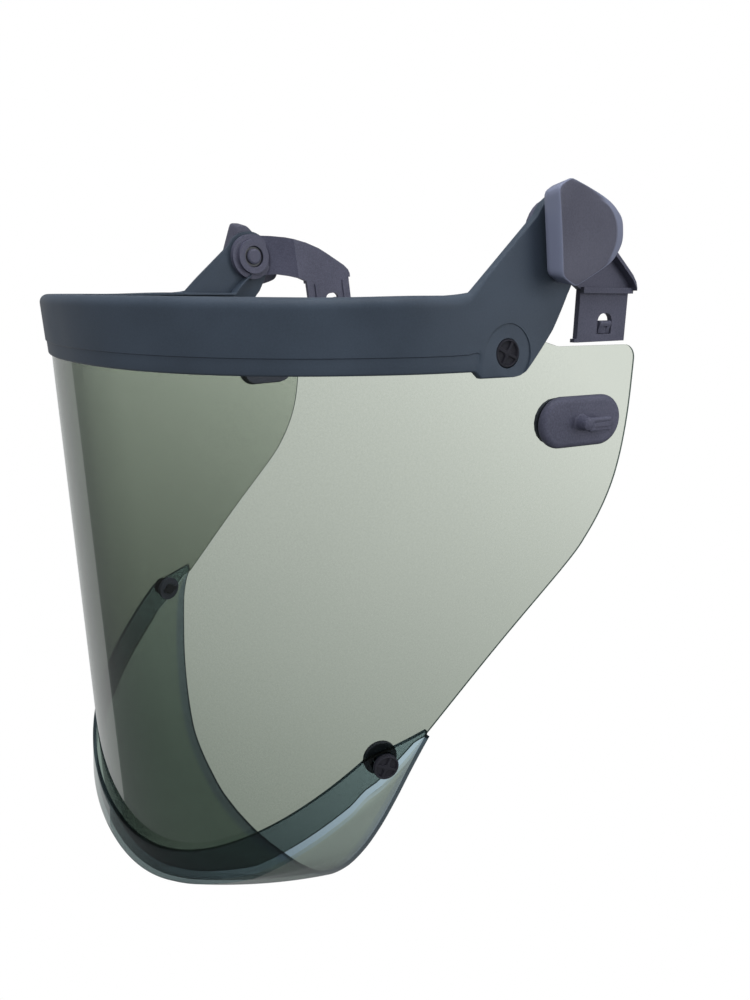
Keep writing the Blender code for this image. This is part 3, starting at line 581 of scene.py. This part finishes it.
# ------------------------------------------------------------------ chin guard
CHIN_CURVE = [v * MM for v in spline(CHIN_RIM[::-1], 6)]
CHIN_COLUMNS = 84                    # in each half
CHIN_BAND_ROWS = 6
CHIN_FLAP_ROWS = 18
CHIN_STRIP_ROWS = 4
CHIN_STRIP = 5.5 * MM                # darker strip along the rear rim


def chin_rim(t):
    """Point on the rear rim, for t from 0 in the middle to 1 at the tip."""
    spot = t * (len(CHIN_CURVE) - 1)
    i = min(int(spot), len(CHIN_CURVE) - 2)
    return CHIN_CURVE[i] + (CHIN_CURVE[i + 1] - CHIN_CURVE[i]) * (spot - i)


def chin_column(t):
    """Column of points from the upper edge over the fold to the rear rim."""
    u = u_at(CHIN_TIP_Y, CHIN_TIP_Z) * t
    y = half_plan(u, CHIN_KNEE_Z).y
    upper = chin_upper_z(y)
    band = interpolate(CHIN_BAND, y / MM) * MM
    out = GAP + CHIN_THICK + CHIN_LEDGE * (1 - t * t)
    stand_out = (CHIN_STAND_OUT - CHIN_LEDGE) * (1 - t * t)
    rows = [wall(u, upper - band * i / CHIN_BAND_ROWS, out + stand_out * i / CHIN_BAND_ROWS)
            for i in range(CHIN_BAND_ROWS + 1)]
    start, end = rows[-1], chin_rim(t)
    along = end - start
    sag = Vector((0, 0, -min(along.length * 0.1, CHIN_SAG)))
    edge = max(1 - CHIN_STRIP / along.length, 0.5)
    shares = [edge * i / CHIN_FLAP_ROWS for i in range(1, CHIN_FLAP_ROWS + 1)]
    shares += [edge + (1 - edge) * i / CHIN_STRIP_ROWS for i in range(1, CHIN_STRIP_ROWS + 1)]
    return rows + [bezier(start, start + along / 3 + sag, start + along * 2 / 3 + sag, end, share)
                   for share in shares]


def chin_guard():
    columns = half_and_mirror([chin_column(1 - i / CHIN_COLUMNS) for i in range(CHIN_COLUMNS + 1)])
    slots = [0] * CHIN_BAND_ROWS + [1] * CHIN_FLAP_ROWS + [2] * CHIN_STRIP_ROWS
    obj = sheet("chin_guard_moulding", columns, CHIN_THICK, 4, slots)
    for flip in (Matrix.Identity(4), MIRROR_X):
        hole = cylinder("hole", STUD_R + 2 * GAP, -5 * MM, 6 * MM)
        combine(obj, moved(hole, flip @ stand(*CHIN_STUD)))
    return rounded(obj, CHIN_EDGE, 2, 50)


# ------------------------------------------------------------------ knob
KNOB_CORNERS = [((-15.6, 15.3), 2), ((-9.4, 18.8), 2), ((14.0, 13.0), 8), ((24.8, 7.0), 3),
                ((26.4, -1.4), 3), ((20.8, -8.2), 5), ((9.4, -13.4), 6), ((-2.8, -18.8), 1.5),
                ((-5.6, -17.6), 1.5), ((-10.4, -15.4), 2)]
KNOB_EDGE = 0.5
KNOB_SPOKES = 144
KNOB_FOOT = 0.93                     # the outline at the inner face, as a share of the outer one
CREASE_CENTRE = (7.0, 0.2)           # of the round crease on the knob's face, in mm
CREASE_R = 11.4
FACE_DOME = 0.0012
SLOPE = 0.26                         # fall of the face outside the crease
SLOPE_AIM = math.radians(18)         # its middle, above the rear
SLOPE_HALF = math.radians(42)        # the full fall reaches this far to either side
SLOPE_FADE = math.radians(58)        # and ends within this much more
POCKET_R = 6.2 * MM
POCKET_DEEP = 7 * MM


def knob_outline():
    """Shield-shaped outline in (depth, height), with rounded corners."""
    points = []
    for i, (corner, radius) in enumerate(KNOB_CORNERS):
        here = Vector(corner)
        before = Vector(KNOB_CORNERS[i - 1][0]) - here
        after = Vector(KNOB_CORNERS[(i + 1) % len(KNOB_CORNERS)][0]) - here
        a = here + before.normalized() * min(radius, before.length * 0.45)
        b = here + after.normalized() * min(radius, after.length * 0.45)
        points += [a * (1 - t)**2 + here * 2 * t * (1 - t) + b * t * t
                   for t in (k / 8 for k in range(9))]
    return points


def reach(outline, centre, angle):
    """Distance from centre to the outline along an angle."""
    ray = Vector((math.cos(angle), math.sin(angle)))
    best = 0.0
    for a, b in zip(outline, outline[1:] + outline[:1]):
        edge = b - a
        cross = ray.x * edge.y - ray.y * edge.x
        if abs(cross) < 1e-9:
            continue
        rel = a - centre
        far = (rel.x * edge.y - rel.y * edge.x) / cross
        share = (rel.x * ray.y - rel.y * ray.x) / cross
        if far > 0 and -1e-6 <= share <= 1 + 1e-6:
            best = max(best, far)
    return best


def knob_body(name):
    """Knob as rings round the middle of its crease, from the inner face to the outer one."""
    outline = knob_outline()
    centre = Vector(CREASE_CENTRE)
    count = KNOB_SPOKES
    inner_x, outer_x = (v / MM for v in KNOB_X)
    face = outer_x - 0.1
    rings = []
    reaches = [reach(outline, centre, 2 * math.pi * i / count) for i in range(count)]

    def ring(size, height):
        points = []
        for i, limit in enumerate(reaches):
            a = 2 * math.pi * i / count
            r = size(limit)
            points.append(Vector((height(r, a), centre.x + r * math.cos(a),
                                  centre.y + r * math.sin(a))) * MM)
        return points

    def face_x(r, a):
        turn = abs((a - SLOPE_AIM + math.pi) % (2 * math.pi) - math.pi)
        slope = SLOPE * (1 - smooth((turn - SLOPE_HALF) / SLOPE_FADE))
        return face - FACE_DOME * r * r - slope * max(r - CREASE_R, 0)

    for scale, x in ((0.90, inner_x), (0.915, inner_x + 0.15), (KNOB_FOOT, inner_x + 0.5)):
        rings.append(ring(lambda limit: limit * scale, lambda r, a: x))
    for share in (0.25, 0.5, 0.75, 1.0):
        def side_x(r, a, share=share):
            top = face_x(r, a) - KNOB_EDGE
            return inner_x + 0.5 + (top - inner_x - 0.5) * share
        rings.append(ring(lambda limit: limit * (KNOB_FOOT + (1 - KNOB_FOOT) * share), side_x))
    for k in range(1, 5):
        t = math.pi / 2 * k / 4
        rings.append(ring(lambda limit: limit - KNOB_EDGE * (1 - math.cos(t)),
                          lambda r, a: face_x(r, a) - KNOB_EDGE * (1 - math.sin(t))))
    for share in (0.66, 0.33):
        rings.append(ring(lambda limit: CREASE_R + (limit - KNOB_EDGE - CREASE_R) * share, face_x))
    for r in (CREASE_R + 0.05, CREASE_R - 0.25, 9.5, 7, 4.5, 2, 0.5):
        rings.append(ring(lambda limit: r, face_x))
    obj = loft(name, rings, 40)
    pocket = bmesh.new()
    across = Matrix.Translation((KNOB_X[0] + 1.5 * MM, 0, 0)) @ Matrix.Rotation(math.pi / 2, 4, "Y")
    bmesh.ops.create_cone(pocket, cap_ends=True, segments=6, radius1=POCKET_R, radius2=POCKET_R,
                          depth=POCKET_DEEP, matrix=across)
    combine(obj, new_object("pocket", pocket))
    combine(obj, cylinder("bore", BORE_R, KNOB_X[0] - 1 * MM, KNOB_X[0] + 8 * MM))
    return obj


# ------------------------------------------------------------------ studs and hook plates
def stud(name, seat, thick):
    """Quarter-turn stud in its local frame: sunken head crossed by two ribs, shank and bar."""
    head = seat + thick
    tail = -(WINDOW_THICK + 2 * GAP + RECEPTACLE_THICK + STUD_TAIL)
    r = STUD_HEAD_R
    floor = head - HEAD_SINK
    obj = turned(name, [(tail, STUD_R - 0.4 * MM), (tail + 0.4 * MM, STUD_R), (seat, STUD_R),
                        (seat + 0.01 * MM, r - 0.2 * MM), (seat + 0.2 * MM, r),
                        (head - 0.5 * MM, r), (head - 0.2 * MM, r - 0.12 * MM),
                        (head, r - 0.5 * MM), (head - 0.1 * MM, r - 0.8 * MM),
                        (floor, r - 1.1 * MM), (floor, 0.4 * MM)], 64)
    for k in range(2):
        rib = box("rib", (floor - 0.2 * MM, head - 0.12 * MM), (-r + 0.9 * MM, r - 0.9 * MM),
                  (-RIB_HALF, RIB_HALF))
        turn = Matrix.Rotation(math.radians(RIB_TURN + 90 * k), 4, "X")
        combine(obj, moved(rib, turn), "UNION")
    hub = cylinder("hub", 1.5 * MM, floor - 0.2 * MM, head - 0.3 * MM, segments=32)
    combine(obj, hub, "UNION")
    bar = box("bar", (tail, tail + 1.2 * MM), (-4.6 * MM, 4.6 * MM), (-1.1 * MM, 1.1 * MM))
    combine(obj, bar, "UNION")
    return rounded(obj, FINE_EDGE, 2)


def latch_tongue(name):
    """Spring tongue; its root is rounded so that it rolls clear of the foot of the slot."""
    low = SLOT_LOW_Z + 0.1 * MM
    rings = []
    top = TONGUE_TOP_Z
    y0, y1 = SLOT_Y - TONGUE_HALF, SLOT_Y + TONGUE_HALF
    for z, inner, outer in ((low, 0.95, 1.55), (low + 0.12 * MM, 0.55, 1.95),
                            (low + 0.4 * MM, 0.3, 2.2), (low + 2 * MM, 0.2, 2.3),
                            (top - 2.4 * MM, 0.2, 2.9), (top - 1.2 * MM, 0.2, 3.3),
                            (top - 0.4 * MM, 0.4, 3.0), (top, 0.6, 2.2)):
        x0, x1 = BLADE_X[0] + inner * MM, BLADE_X[0] + outer * MM
        rings.append([Vector((x, y, z)) for x, y in ((x0, y0), (x1, y0), (x1, y1), (x0, y1))])
    obj = loft(name, rings)
    combine(obj, box("notch", (BLADE_X[0] + 2.1 * MM, BLADE_X[0] + 5 * MM),
                     (SLOT_Y - 1.2 * MM, SLOT_Y + 1.6 * MM),
                     (SLOT_LOW_Z - 1 * MM, top - 2.4 * MM)))
    return rounded(obj, FINE_EDGE, 2)


def hook_plate(name):
    """Oval plate with an undercut hook: stem, and a grooved finger that points rearward."""
    r = HOOK_TALL / 2
    half = HOOK_LONG / 2 - r
    rim = []
    for sign, start in ((1, -math.pi / 2), (-1, math.pi / 2)):
        for i in range(33):
            rim.append((sign * half, start + math.pi * i / 32))
    face = GAP + HOOK_THICK
    rings = []
    for x, inset in ((GAP, 0.35), (GAP + 0.3 * MM, 0.05), (GAP + 1.2 * MM, 0),
                     (face - 1.5 * MM, 0.15), (face - 0.8 * MM, 0.55), (face - 0.3 * MM, 1.2),
                     (face - 0.05 * MM, 1.9), (face, 2.6)):
        size = r - inset * MM
        rings.append([Vector((x, y + size * math.cos(a), size * math.sin(a))) for y, a in rim])
    obj = loft(name, rings, 30)
    stem = turned("stem", [(face - 1 * MM, 3.6 * MM), (face, 3.5 * MM), (face + 0.6 * MM, 2.9 * MM),
                           (face + 3.6 * MM, 2.8 * MM), (face + 4.9 * MM, 2.5 * MM),
                           (face + 5.5 * MM, 1.6 * MM)], 40)
    combine(obj, moved(stem, Matrix.Translation((0, -1.5 * MM, 0))), "UNION")
    finger = box("finger", (face + 2.9 * MM, face + 5.1 * MM), (-1.0 * MM, 10.5 * MM),
                 (-3.3 * MM, 2.3 * MM))
    rounded(finger, 0.7 * MM, 3)
    for z in (-1.7 * MM, 0.7 * MM):
        combine(finger, box("groove", (face + 4.7 * MM, face + 6 * MM), (1.5 * MM, 12 * MM),
                            (z - 0.35 * MM, z + 0.35 * MM)))
    combine(obj, finger, "UNION")
    for sign in (1, -1):
        combine(obj, cylinder("hole", RIVET_R + GAP, -1 * MM, face - 0.8 * MM, sign * RIVET_OFFSET))
    return obj


# ------------------------------------------------------------------ materials
def node_material(name):
    mat = bpy.data.materials.new(name)
    mat.use_nodes = True
    tree = mat.node_tree
    tree.nodes.clear()
    output = tree.nodes.new("ShaderNodeOutputMaterial")
    return mat, tree, output


def noise(tree, coordinate, scale, detail, roughness):
    node = tree.nodes.new("ShaderNodeTexNoise")
    node.inputs["Scale"].default_value = scale
    node.inputs["Detail"].default_value = detail
    node.inputs["Roughness"].default_value = roughness
    tree.links.new(coordinate, node.inputs["Vector"])
    return node.outputs["Fac"]


def ramp(tree, source, low, high, out_low, out_high):
    """Straight run from out_low to out_high while the source goes from low to high."""
    node = tree.nodes.new("ShaderNodeMapRange")
    for key, value in (("From Min", low), ("From Max", high),
                       ("To Min", out_low), ("To Max", out_high)):
        node.inputs[key].default_value = value
    tree.links.new(source, node.inputs["Value"])
    return node.outputs["Result"]


def math_node(tree, operation, a, b=None):
    """Result of an operation on numbers or sockets."""
    node = tree.nodes.new("ShaderNodeMath")
    node.operation = operation
    for i, value in enumerate((a, b)):
        if value is None:
            continue
        if isinstance(value, (int, float)):
            node.inputs[i].default_value = value
        else:
            tree.links.new(value, node.inputs[i])
    return node.outputs["Value"]


def mix_colour(tree, factor, a, b):
    """Colour between a and b, each a tuple or a socket."""
    node = tree.nodes.new("ShaderNodeMix")
    node.data_type = "RGBA"
    tree.links.new(factor, node.inputs[0])
    for socket, value in ((node.inputs[6], a), (node.inputs[7], b)):
        if isinstance(value, tuple):
            socket.default_value = (*value, 1)
        else:
            tree.links.new(value, socket)
    return node.outputs[2]


def painted_highlight_share(tree):
    """Share of painted highlight: 1 on walls that face forwards, 0.7 on a slope that leans away
    from the X axis.
    """
    parts = tree.nodes.new("ShaderNodeSeparateXYZ")
    tree.links.new(tree.nodes.new("ShaderNodeTexCoord").outputs["Normal"], parts.inputs[0])
    across = math_node(tree, "ABSOLUTE", parts.outputs["X"])
    slope = ramp(tree, across, 0.965, 0.99, 0.7, 0)
    front = math_node(tree, "MULTIPLY", ramp(tree, across, 0.3, 0.9, 0.35, 0),
                      ramp(tree, parts.outputs["Y"], -0.9, 0.2, 1, -1))
    return math_node(tree, "ADD", slope, front)


def moulded(name, dark, light, rough, grain_scale, grain_depth, speckle, metallic=0.0, painted_highlight=None):
    """Moulded plastic, rubber or metal: fine speckle, a slow cloud of tone and a grained surface.
    The painted highlight colour, if any, lightens the walls and slopes where light falls on them."""
    mat, tree, output = node_material(name)
    where = tree.nodes.new("ShaderNodeTexCoord").outputs["Object"]
    fine = noise(tree, where, grain_scale, 2.0, 0.7)
    cloud = noise(tree, where, 35.0, 3.0, 0.5)
    tone = math_node(tree, "ADD", math_node(tree, "MULTIPLY", fine, speckle),
                     math_node(tree, "MULTIPLY", cloud, 1 - speckle))
    colour = mix_colour(tree, ramp(tree, tone, 0.32, 0.68, 0, 1), dark, light)
    # painted highlight: walls facing forwards and sloped faces are made lighter, where light falls
    # on them
    if painted_highlight:
        colour = mix_colour(tree, painted_highlight_share(tree), colour, painted_highlight)
    shader = tree.nodes.new("ShaderNodeBsdfPrincipled")
    tree.links.new(colour, shader.inputs["Base Color"])
    roughness = ramp(tree, cloud, 0.3, 0.7, rough - 0.05, rough + 0.06)
    tree.links.new(roughness, shader.inputs["Roughness"])
    shader.inputs["Metallic"].default_value = metallic
    bump = tree.nodes.new("ShaderNodeBump")
    bump.inputs["Strength"].default_value = 0.5
    bump.inputs["Distance"].default_value = grain_depth
    tree.links.new(fine, bump.inputs["Height"])
    tree.links.new(bump.outputs["Normal"], shader.inputs["Normal"])
    tree.links.new(shader.outputs["BSDF"], output.inputs["Surface"])
    return mat


def tinted(name, rear_tint, painted_shade_tint, gloss, start, end, rough=0.03):
    """Clear tinted plastic: each face passes its tint and mirrors more at a grazing angle.
    The passed colour darkens towards the front and the bottom as painted shade, from start to end
    on a scale that is height plus three quarters of depth."""
    mat, tree, output = node_material(name)
    where = tree.nodes.new("ShaderNodeTexCoord").outputs["Object"]
    parts = tree.nodes.new("ShaderNodeSeparateXYZ")
    tree.links.new(where, parts.inputs[0])
    slope = math_node(tree, "ADD", math_node(tree, "MULTIPLY", parts.outputs["Y"], 0.75),
                      parts.outputs["Z"])
    cloud = noise(tree, where, 9.0, 2.0, 0.4)
    slope = math_node(tree, "ADD", slope, math_node(tree, "MULTIPLY", cloud, 0.03))
    fine = noise(tree, where, 1400.0, 2.0, 0.7)
    # painted shade: darker towards the front and the bottom, with a fine random speckle of tone
    painted_shade_and_speckle = ramp(tree, slope, start, end, 0, 1)
    painted_shade_and_speckle = math_node(tree, "ADD", painted_shade_and_speckle, ramp(tree, fine, 0.3, 0.7, -0.05, 0.05))
    tint = mix_colour(tree, painted_shade_and_speckle, rear_tint, painted_shade_tint)
    weight = tree.nodes.new("ShaderNodeLayerWeight")
    weight.inputs["Blend"].default_value = 0.5
    facing = weight.outputs["Facing"]
    shade = mix_colour(tree, ramp(tree, facing, 0.45, 1.0, 0, 0.55), tint, (0.25, 0.28, 0.25))
    clear = tree.nodes.new("ShaderNodeBsdfTransparent")
    tree.links.new(shade, clear.inputs["Color"])
    mirror = tree.nodes.new("ShaderNodeBsdfGlossy")
    mirror.inputs["Color"].default_value = (0.95, 0.96, 0.95, 1)
    mirror.inputs["Roughness"].default_value = rough
    grazing = math_node(tree, "MULTIPLY", math_node(tree, "POWER", facing, 5.0), 0.95)
    fresnel = math_node(tree, "ADD", grazing, gloss)
    mix = tree.nodes.new("ShaderNodeMixShader")
    tree.links.new(fresnel, mix.inputs[0])
    tree.links.new(clear.outputs[0], mix.inputs[1])
    tree.links.new(mirror.outputs[0], mix.inputs[2])
    tree.links.new(mix.outputs[0], output.inputs["Surface"])
    return mat


SLATE = moulded("slate_plastic", (0.031, 0.042, 0.059), (0.043, 0.058, 0.081),
                0.5, 1500, 0.00003, 0.4)
PURPLE = moulded("purple_grey_plastic", (0.044, 0.046, 0.070), (0.088, 0.090, 0.132),
                 0.46, 1300, 0.00005, 0.65)
KNOB_TONES = ((0.050, 0.051, 0.074), (0.084, 0.086, 0.118))
KNOB_GREY = moulded("knob_plastic", *KNOB_TONES, 0.42, 1500, 0.00004, 0.55)
# The left knob's material carries painted highlight on its front walls and sloped face.
KNOB_PAINTED_HIGHLIGHT = moulded("knob_plastic_painted_highlight", *KNOB_TONES, 0.42, 1500, 0.00004, 0.55,
                       painted_highlight=(0.19, 0.21, 0.30))
BLACK = moulded("black_plastic", (0.009, 0.009, 0.013), (0.020, 0.020, 0.027),
                0.34, 1100, 0.00003, 0.4)
STEEL = moulded("plated_steel", (0.42, 0.42, 0.43), (0.56, 0.56, 0.57),
                0.3, 900, 0.00001, 0.3, metallic=1.0)
RUBBER = moulded("black_rubber", (0.012, 0.012, 0.012), (0.026, 0.026, 0.026),
                 0.78, 1200, 0.00006, 0.5)
# Each pair: the plain tint at the rear, and a darker colour with painted shade at the front and
# bottom.
WINDOW = tinted("window_tint", (0.825, 0.85, 0.81), (0.465, 0.50, 0.46), 0.03, -0.02, -0.31)
WINDOW_RIM = tinted("window_rim", (0.10, 0.13, 0.12), (0.07, 0.10, 0.09), 0.05, -0.08, -0.33, 0.2)
CHIN_BAND_TINT = tinted("chin_band_smoke", (0.61, 0.70, 0.74), (0.33, 0.39, 0.43),
                        0.03, -0.24, -0.36)
CHIN_FLAP_TINT = tinted("chin_flap_smoke", (0.54, 0.59, 0.56), (0.45, 0.51, 0.48),
                        0.03, -0.22, -0.36)
CHIN_STRIP_TINT = tinted("chin_strip_smoke", (0.48, 0.54, 0.57), (0.38, 0.43, 0.46),
                         0.04, -0.22, -0.36)
CHIN_RIM_TINT = tinted("chin_rim_smoke", (0.10, 0.13, 0.15), (0.08, 0.11, 0.13),
                       0.05, -0.22, -0.36, 0.15)

SLOT_MATERIALS = {"brow_slate": SLATE, "adapter_grey": PURPLE, "knob_grey": KNOB_GREY,
                  "fastener_black": BLACK, "steel": STEEL, "rubber": RUBBER}
CAD_WELD = 0.005 * MM
CAD_EDGE = 0.2 * MM
CAD_EDGE_ANGLE = math.radians(20)
CHIN_SEAT = CHIN_THICK + 2 * GAP + 0.4 * MM


def finish_cad_nodes():
    """Give each carried-over CAD node its material and softened edges."""
    slots = {part["node"]: part["material_slot"] for part in frame["record"]["subparts"]}
    for name, obj in frame["nodes"].items():
        mat = SLOT_MATERIALS.get(slots[name], PURPLE)
        obj.data.materials.clear()
        obj.data.materials.append(mat)
        weld = obj.modifiers.new("Weld", "WELD")
        weld.merge_threshold = CAD_WELD
        edges = obj.modifiers.new("Edges", "BEVEL")
        edges.width = CAD_EDGE
        edges.segments = 2
        edges.limit_method = "ANGLE"
        edges.angle_limit = CAD_EDGE_ANGLE
        obj.modifiers.new("Normals", "WEIGHTED_NORMAL")


def place(obj, body, node, slot, *materials):
    """Give a mesh its materials, which keep the slots of its faces, and put it in a body."""
    for _ in range(len(materials) - len(obj.data.materials)):
        obj.data.materials.append(None)
    for i, mat in enumerate(materials):
        obj.data.materials[i] = mat
    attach(obj, body)
    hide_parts(node)


def build():
    """Make every detailed piece, left ones first, and put it in place of its CAD node."""
    finish_cad_nodes()
    place(window(), "shield", "window", "window_tint", WINDOW, WINDOW_RIM)
    place(chin_guard(), "shield", "chin_guard", "chin_smoke",
          CHIN_BAND_TINT, CHIN_FLAP_TINT, CHIN_STRIP_TINT, CHIN_RIM_TINT)
    place(brow_bracket(), "shield", "brow_bracket", "brow_slate", SLATE)

    left = knob_body("left_knob_cap")
    right = mirror_copy(left, "right_knob_cap")
    moved(right, Matrix.Rotation(RIGHT_KNOB_TURN, 4, "X"))
    # only the near, left knob gets the painted highlight
    place(left, "left_knob_body", "left_knob", "knob_grey", KNOB_PAINTED_HIGHLIGHT)
    place(right, "right_knob_body", "right_knob", "knob_grey", KNOB_GREY)

    left = latch_tongue("left_spring_latch")
    right = mirror_copy(left, "right_spring_latch")
    moved(right, Matrix.Rotation(RIGHT_ADAPTER_TILT, 4, "X"))
    for side, obj in (("left", left), ("right", right)):
        place(obj, f"{side}_latch_body", f"{side}_latch_tongue", "adapter_grey", PURPLE)

    for base, spot, seat in (("brow", BROW_STUD, SEAT_OUT + GAP), ("chin", CHIN_STUD, CHIN_SEAT)):
        left = moved(stud(f"left_{base}_fastener", seat, HEAD_THICK[base]), stand(*spot))
        right = mirror_copy(left, f"right_{base}_fastener")
        for side, obj in (("left", left), ("right", right)):
            place(obj, f"{side}_{base}_stud_body", f"{side}_{base}_stud", "fastener_black", BLACK)

    left = moved(hook_plate("left_hood_hook"), stand(*HOOK_CENTRE))
    right = mirror_copy(left, "right_hood_hook")
    for side, obj in (("left", left), ("right", right)):
        place(obj, "shield", f"{side}_hook_plate", "adapter_grey", PURPLE)


# ------------------------------------------------------------------ floor, light, camera
FLOOR_Z = -0.40
FLOOR_R = 40.0
LIGHT_AIM = (0, -0.05, -0.12)
STRIP_X = -3.0                       # panel that gives the window's left edge its pale strip
STRIP_Y = (-1.152, 2.5)
STRIP_Z = -0.9
STRIP_TALL = 3.4
CAMERA_AT = (0.32724, -0.23741, -0.02167)
CAMERA_RIGHT = (0.5983, 0.8012, 0.0084)
CAMERA_UP = (-0.2179, 0.1527, 0.9640)
CAMERA_BACK = (0.7710, -0.5786, 0.2660)
CAMERA_LENS = 27.0
CAMERA_SENSOR = 36.0


def stage():
    """Wide white floor that lights nothing, so that it meets the white backdrop without a seam."""
    bm = bmesh.new()
    bmesh.ops.create_circle(bm, cap_ends=True, segments=96, radius=FLOOR_R,
                            matrix=Matrix.Translation((0, 0, FLOOR_Z)))
    floor = new_object("floor", bm)
    mat, tree, output = node_material("white_floor")
    shader = tree.nodes.new("ShaderNodeEmission")
    shader.inputs["Color"].default_value = (1, 1, 1, 1)
    shader.inputs["Strength"].default_value = 1.0
    tree.links.new(shader.outputs[0], output.inputs["Surface"])
    floor.data.materials.append(mat)
    floor.visible_diffuse = False
    floor.visible_glossy = False
    floor.visible_shadow = False


def world():
    """Even white for the camera; softer from all round for the light on the object."""
    sky = bpy.data.worlds.new("studio")
    bpy.context.scene.world = sky
    sky.use_nodes = True
    tree = sky.node_tree
    tree.nodes.clear()
    seen = tree.nodes.new("ShaderNodeBackground")
    seen.inputs["Color"].default_value = (1, 1, 1, 1)
    seen.inputs["Strength"].default_value = 1.0
    soft = tree.nodes.new("ShaderNodeBackground")
    soft.inputs["Color"].default_value = (0.93, 0.97, 1.0, 1)
    soft.inputs["Strength"].default_value = 0.2
    mix = tree.nodes.new("ShaderNodeMixShader")
    path = tree.nodes.new("ShaderNodeLightPath")
    output = tree.nodes.new("ShaderNodeOutputWorld")
    tree.links.new(path.outputs["Is Camera Ray"], mix.inputs[0])
    tree.links.new(soft.outputs[0], mix.inputs[1])
    tree.links.new(seen.outputs[0], mix.inputs[2])
    tree.links.new(mix.outputs[0], output.inputs["Surface"])


def softbox(name, at, target, size, power, mirrored=False):
    """Area light; a mirrored one shows in glossy surfaces and lights nothing else."""
    data = bpy.data.lights.new(name, "AREA")
    data.shape = "RECTANGLE"
    data.size, data.size_y = size
    data.energy = power
    lamp = bpy.data.objects.new(name, data)
    bpy.context.scene.collection.objects.link(lamp)
    lamp.location = at
    lamp.rotation_mode = "QUATERNION"
    lamp.rotation_quaternion = (Vector(target) - Vector(at)).to_track_quat("-Z", "Y")
    lamp.visible_camera = False
    lamp.visible_glossy = mirrored
    lamp.visible_diffuse = not mirrored


def lights():
    softbox("top_light", (0.1, 0.0, 1.1), LIGHT_AIM, (1.2, 1.2), 22.0)
    softbox("side_light", (1.2, 0.7, 0.2), LIGHT_AIM, (0.9, 1.2), 13.0)
    softbox("front_light", (0.75, -1.3, 0.5), LIGHT_AIM, (0.6, 0.8), 14.0)
    middle_y = sum(STRIP_Y) / 2
    softbox("left_panel", (STRIP_X, middle_y, STRIP_Z), (0, middle_y, STRIP_Z),
            (STRIP_Y[1] - STRIP_Y[0], STRIP_TALL), 15.0, mirrored=True)


def camera():
    data = bpy.data.cameras.new("camera")
    data.lens = CAMERA_LENS
    data.sensor_width = CAMERA_SENSOR
    data.clip_start, data.clip_end = 0.01, 5 * FLOOR_R
    obj = bpy.data.objects.new("camera", data)
    bpy.context.scene.collection.objects.link(obj)
    turn = Matrix((CAMERA_RIGHT, CAMERA_UP, CAMERA_BACK)).transposed().to_4x4()
    obj.matrix_world = Matrix.Translation(CAMERA_AT) @ turn
    bpy.context.scene.camera = obj


build()
stage()
world()
lights()
camera()
bpy.context.scene.view_settings.view_transform = "Standard"
bpy.context.scene.cycles.transparent_max_bounces = 32
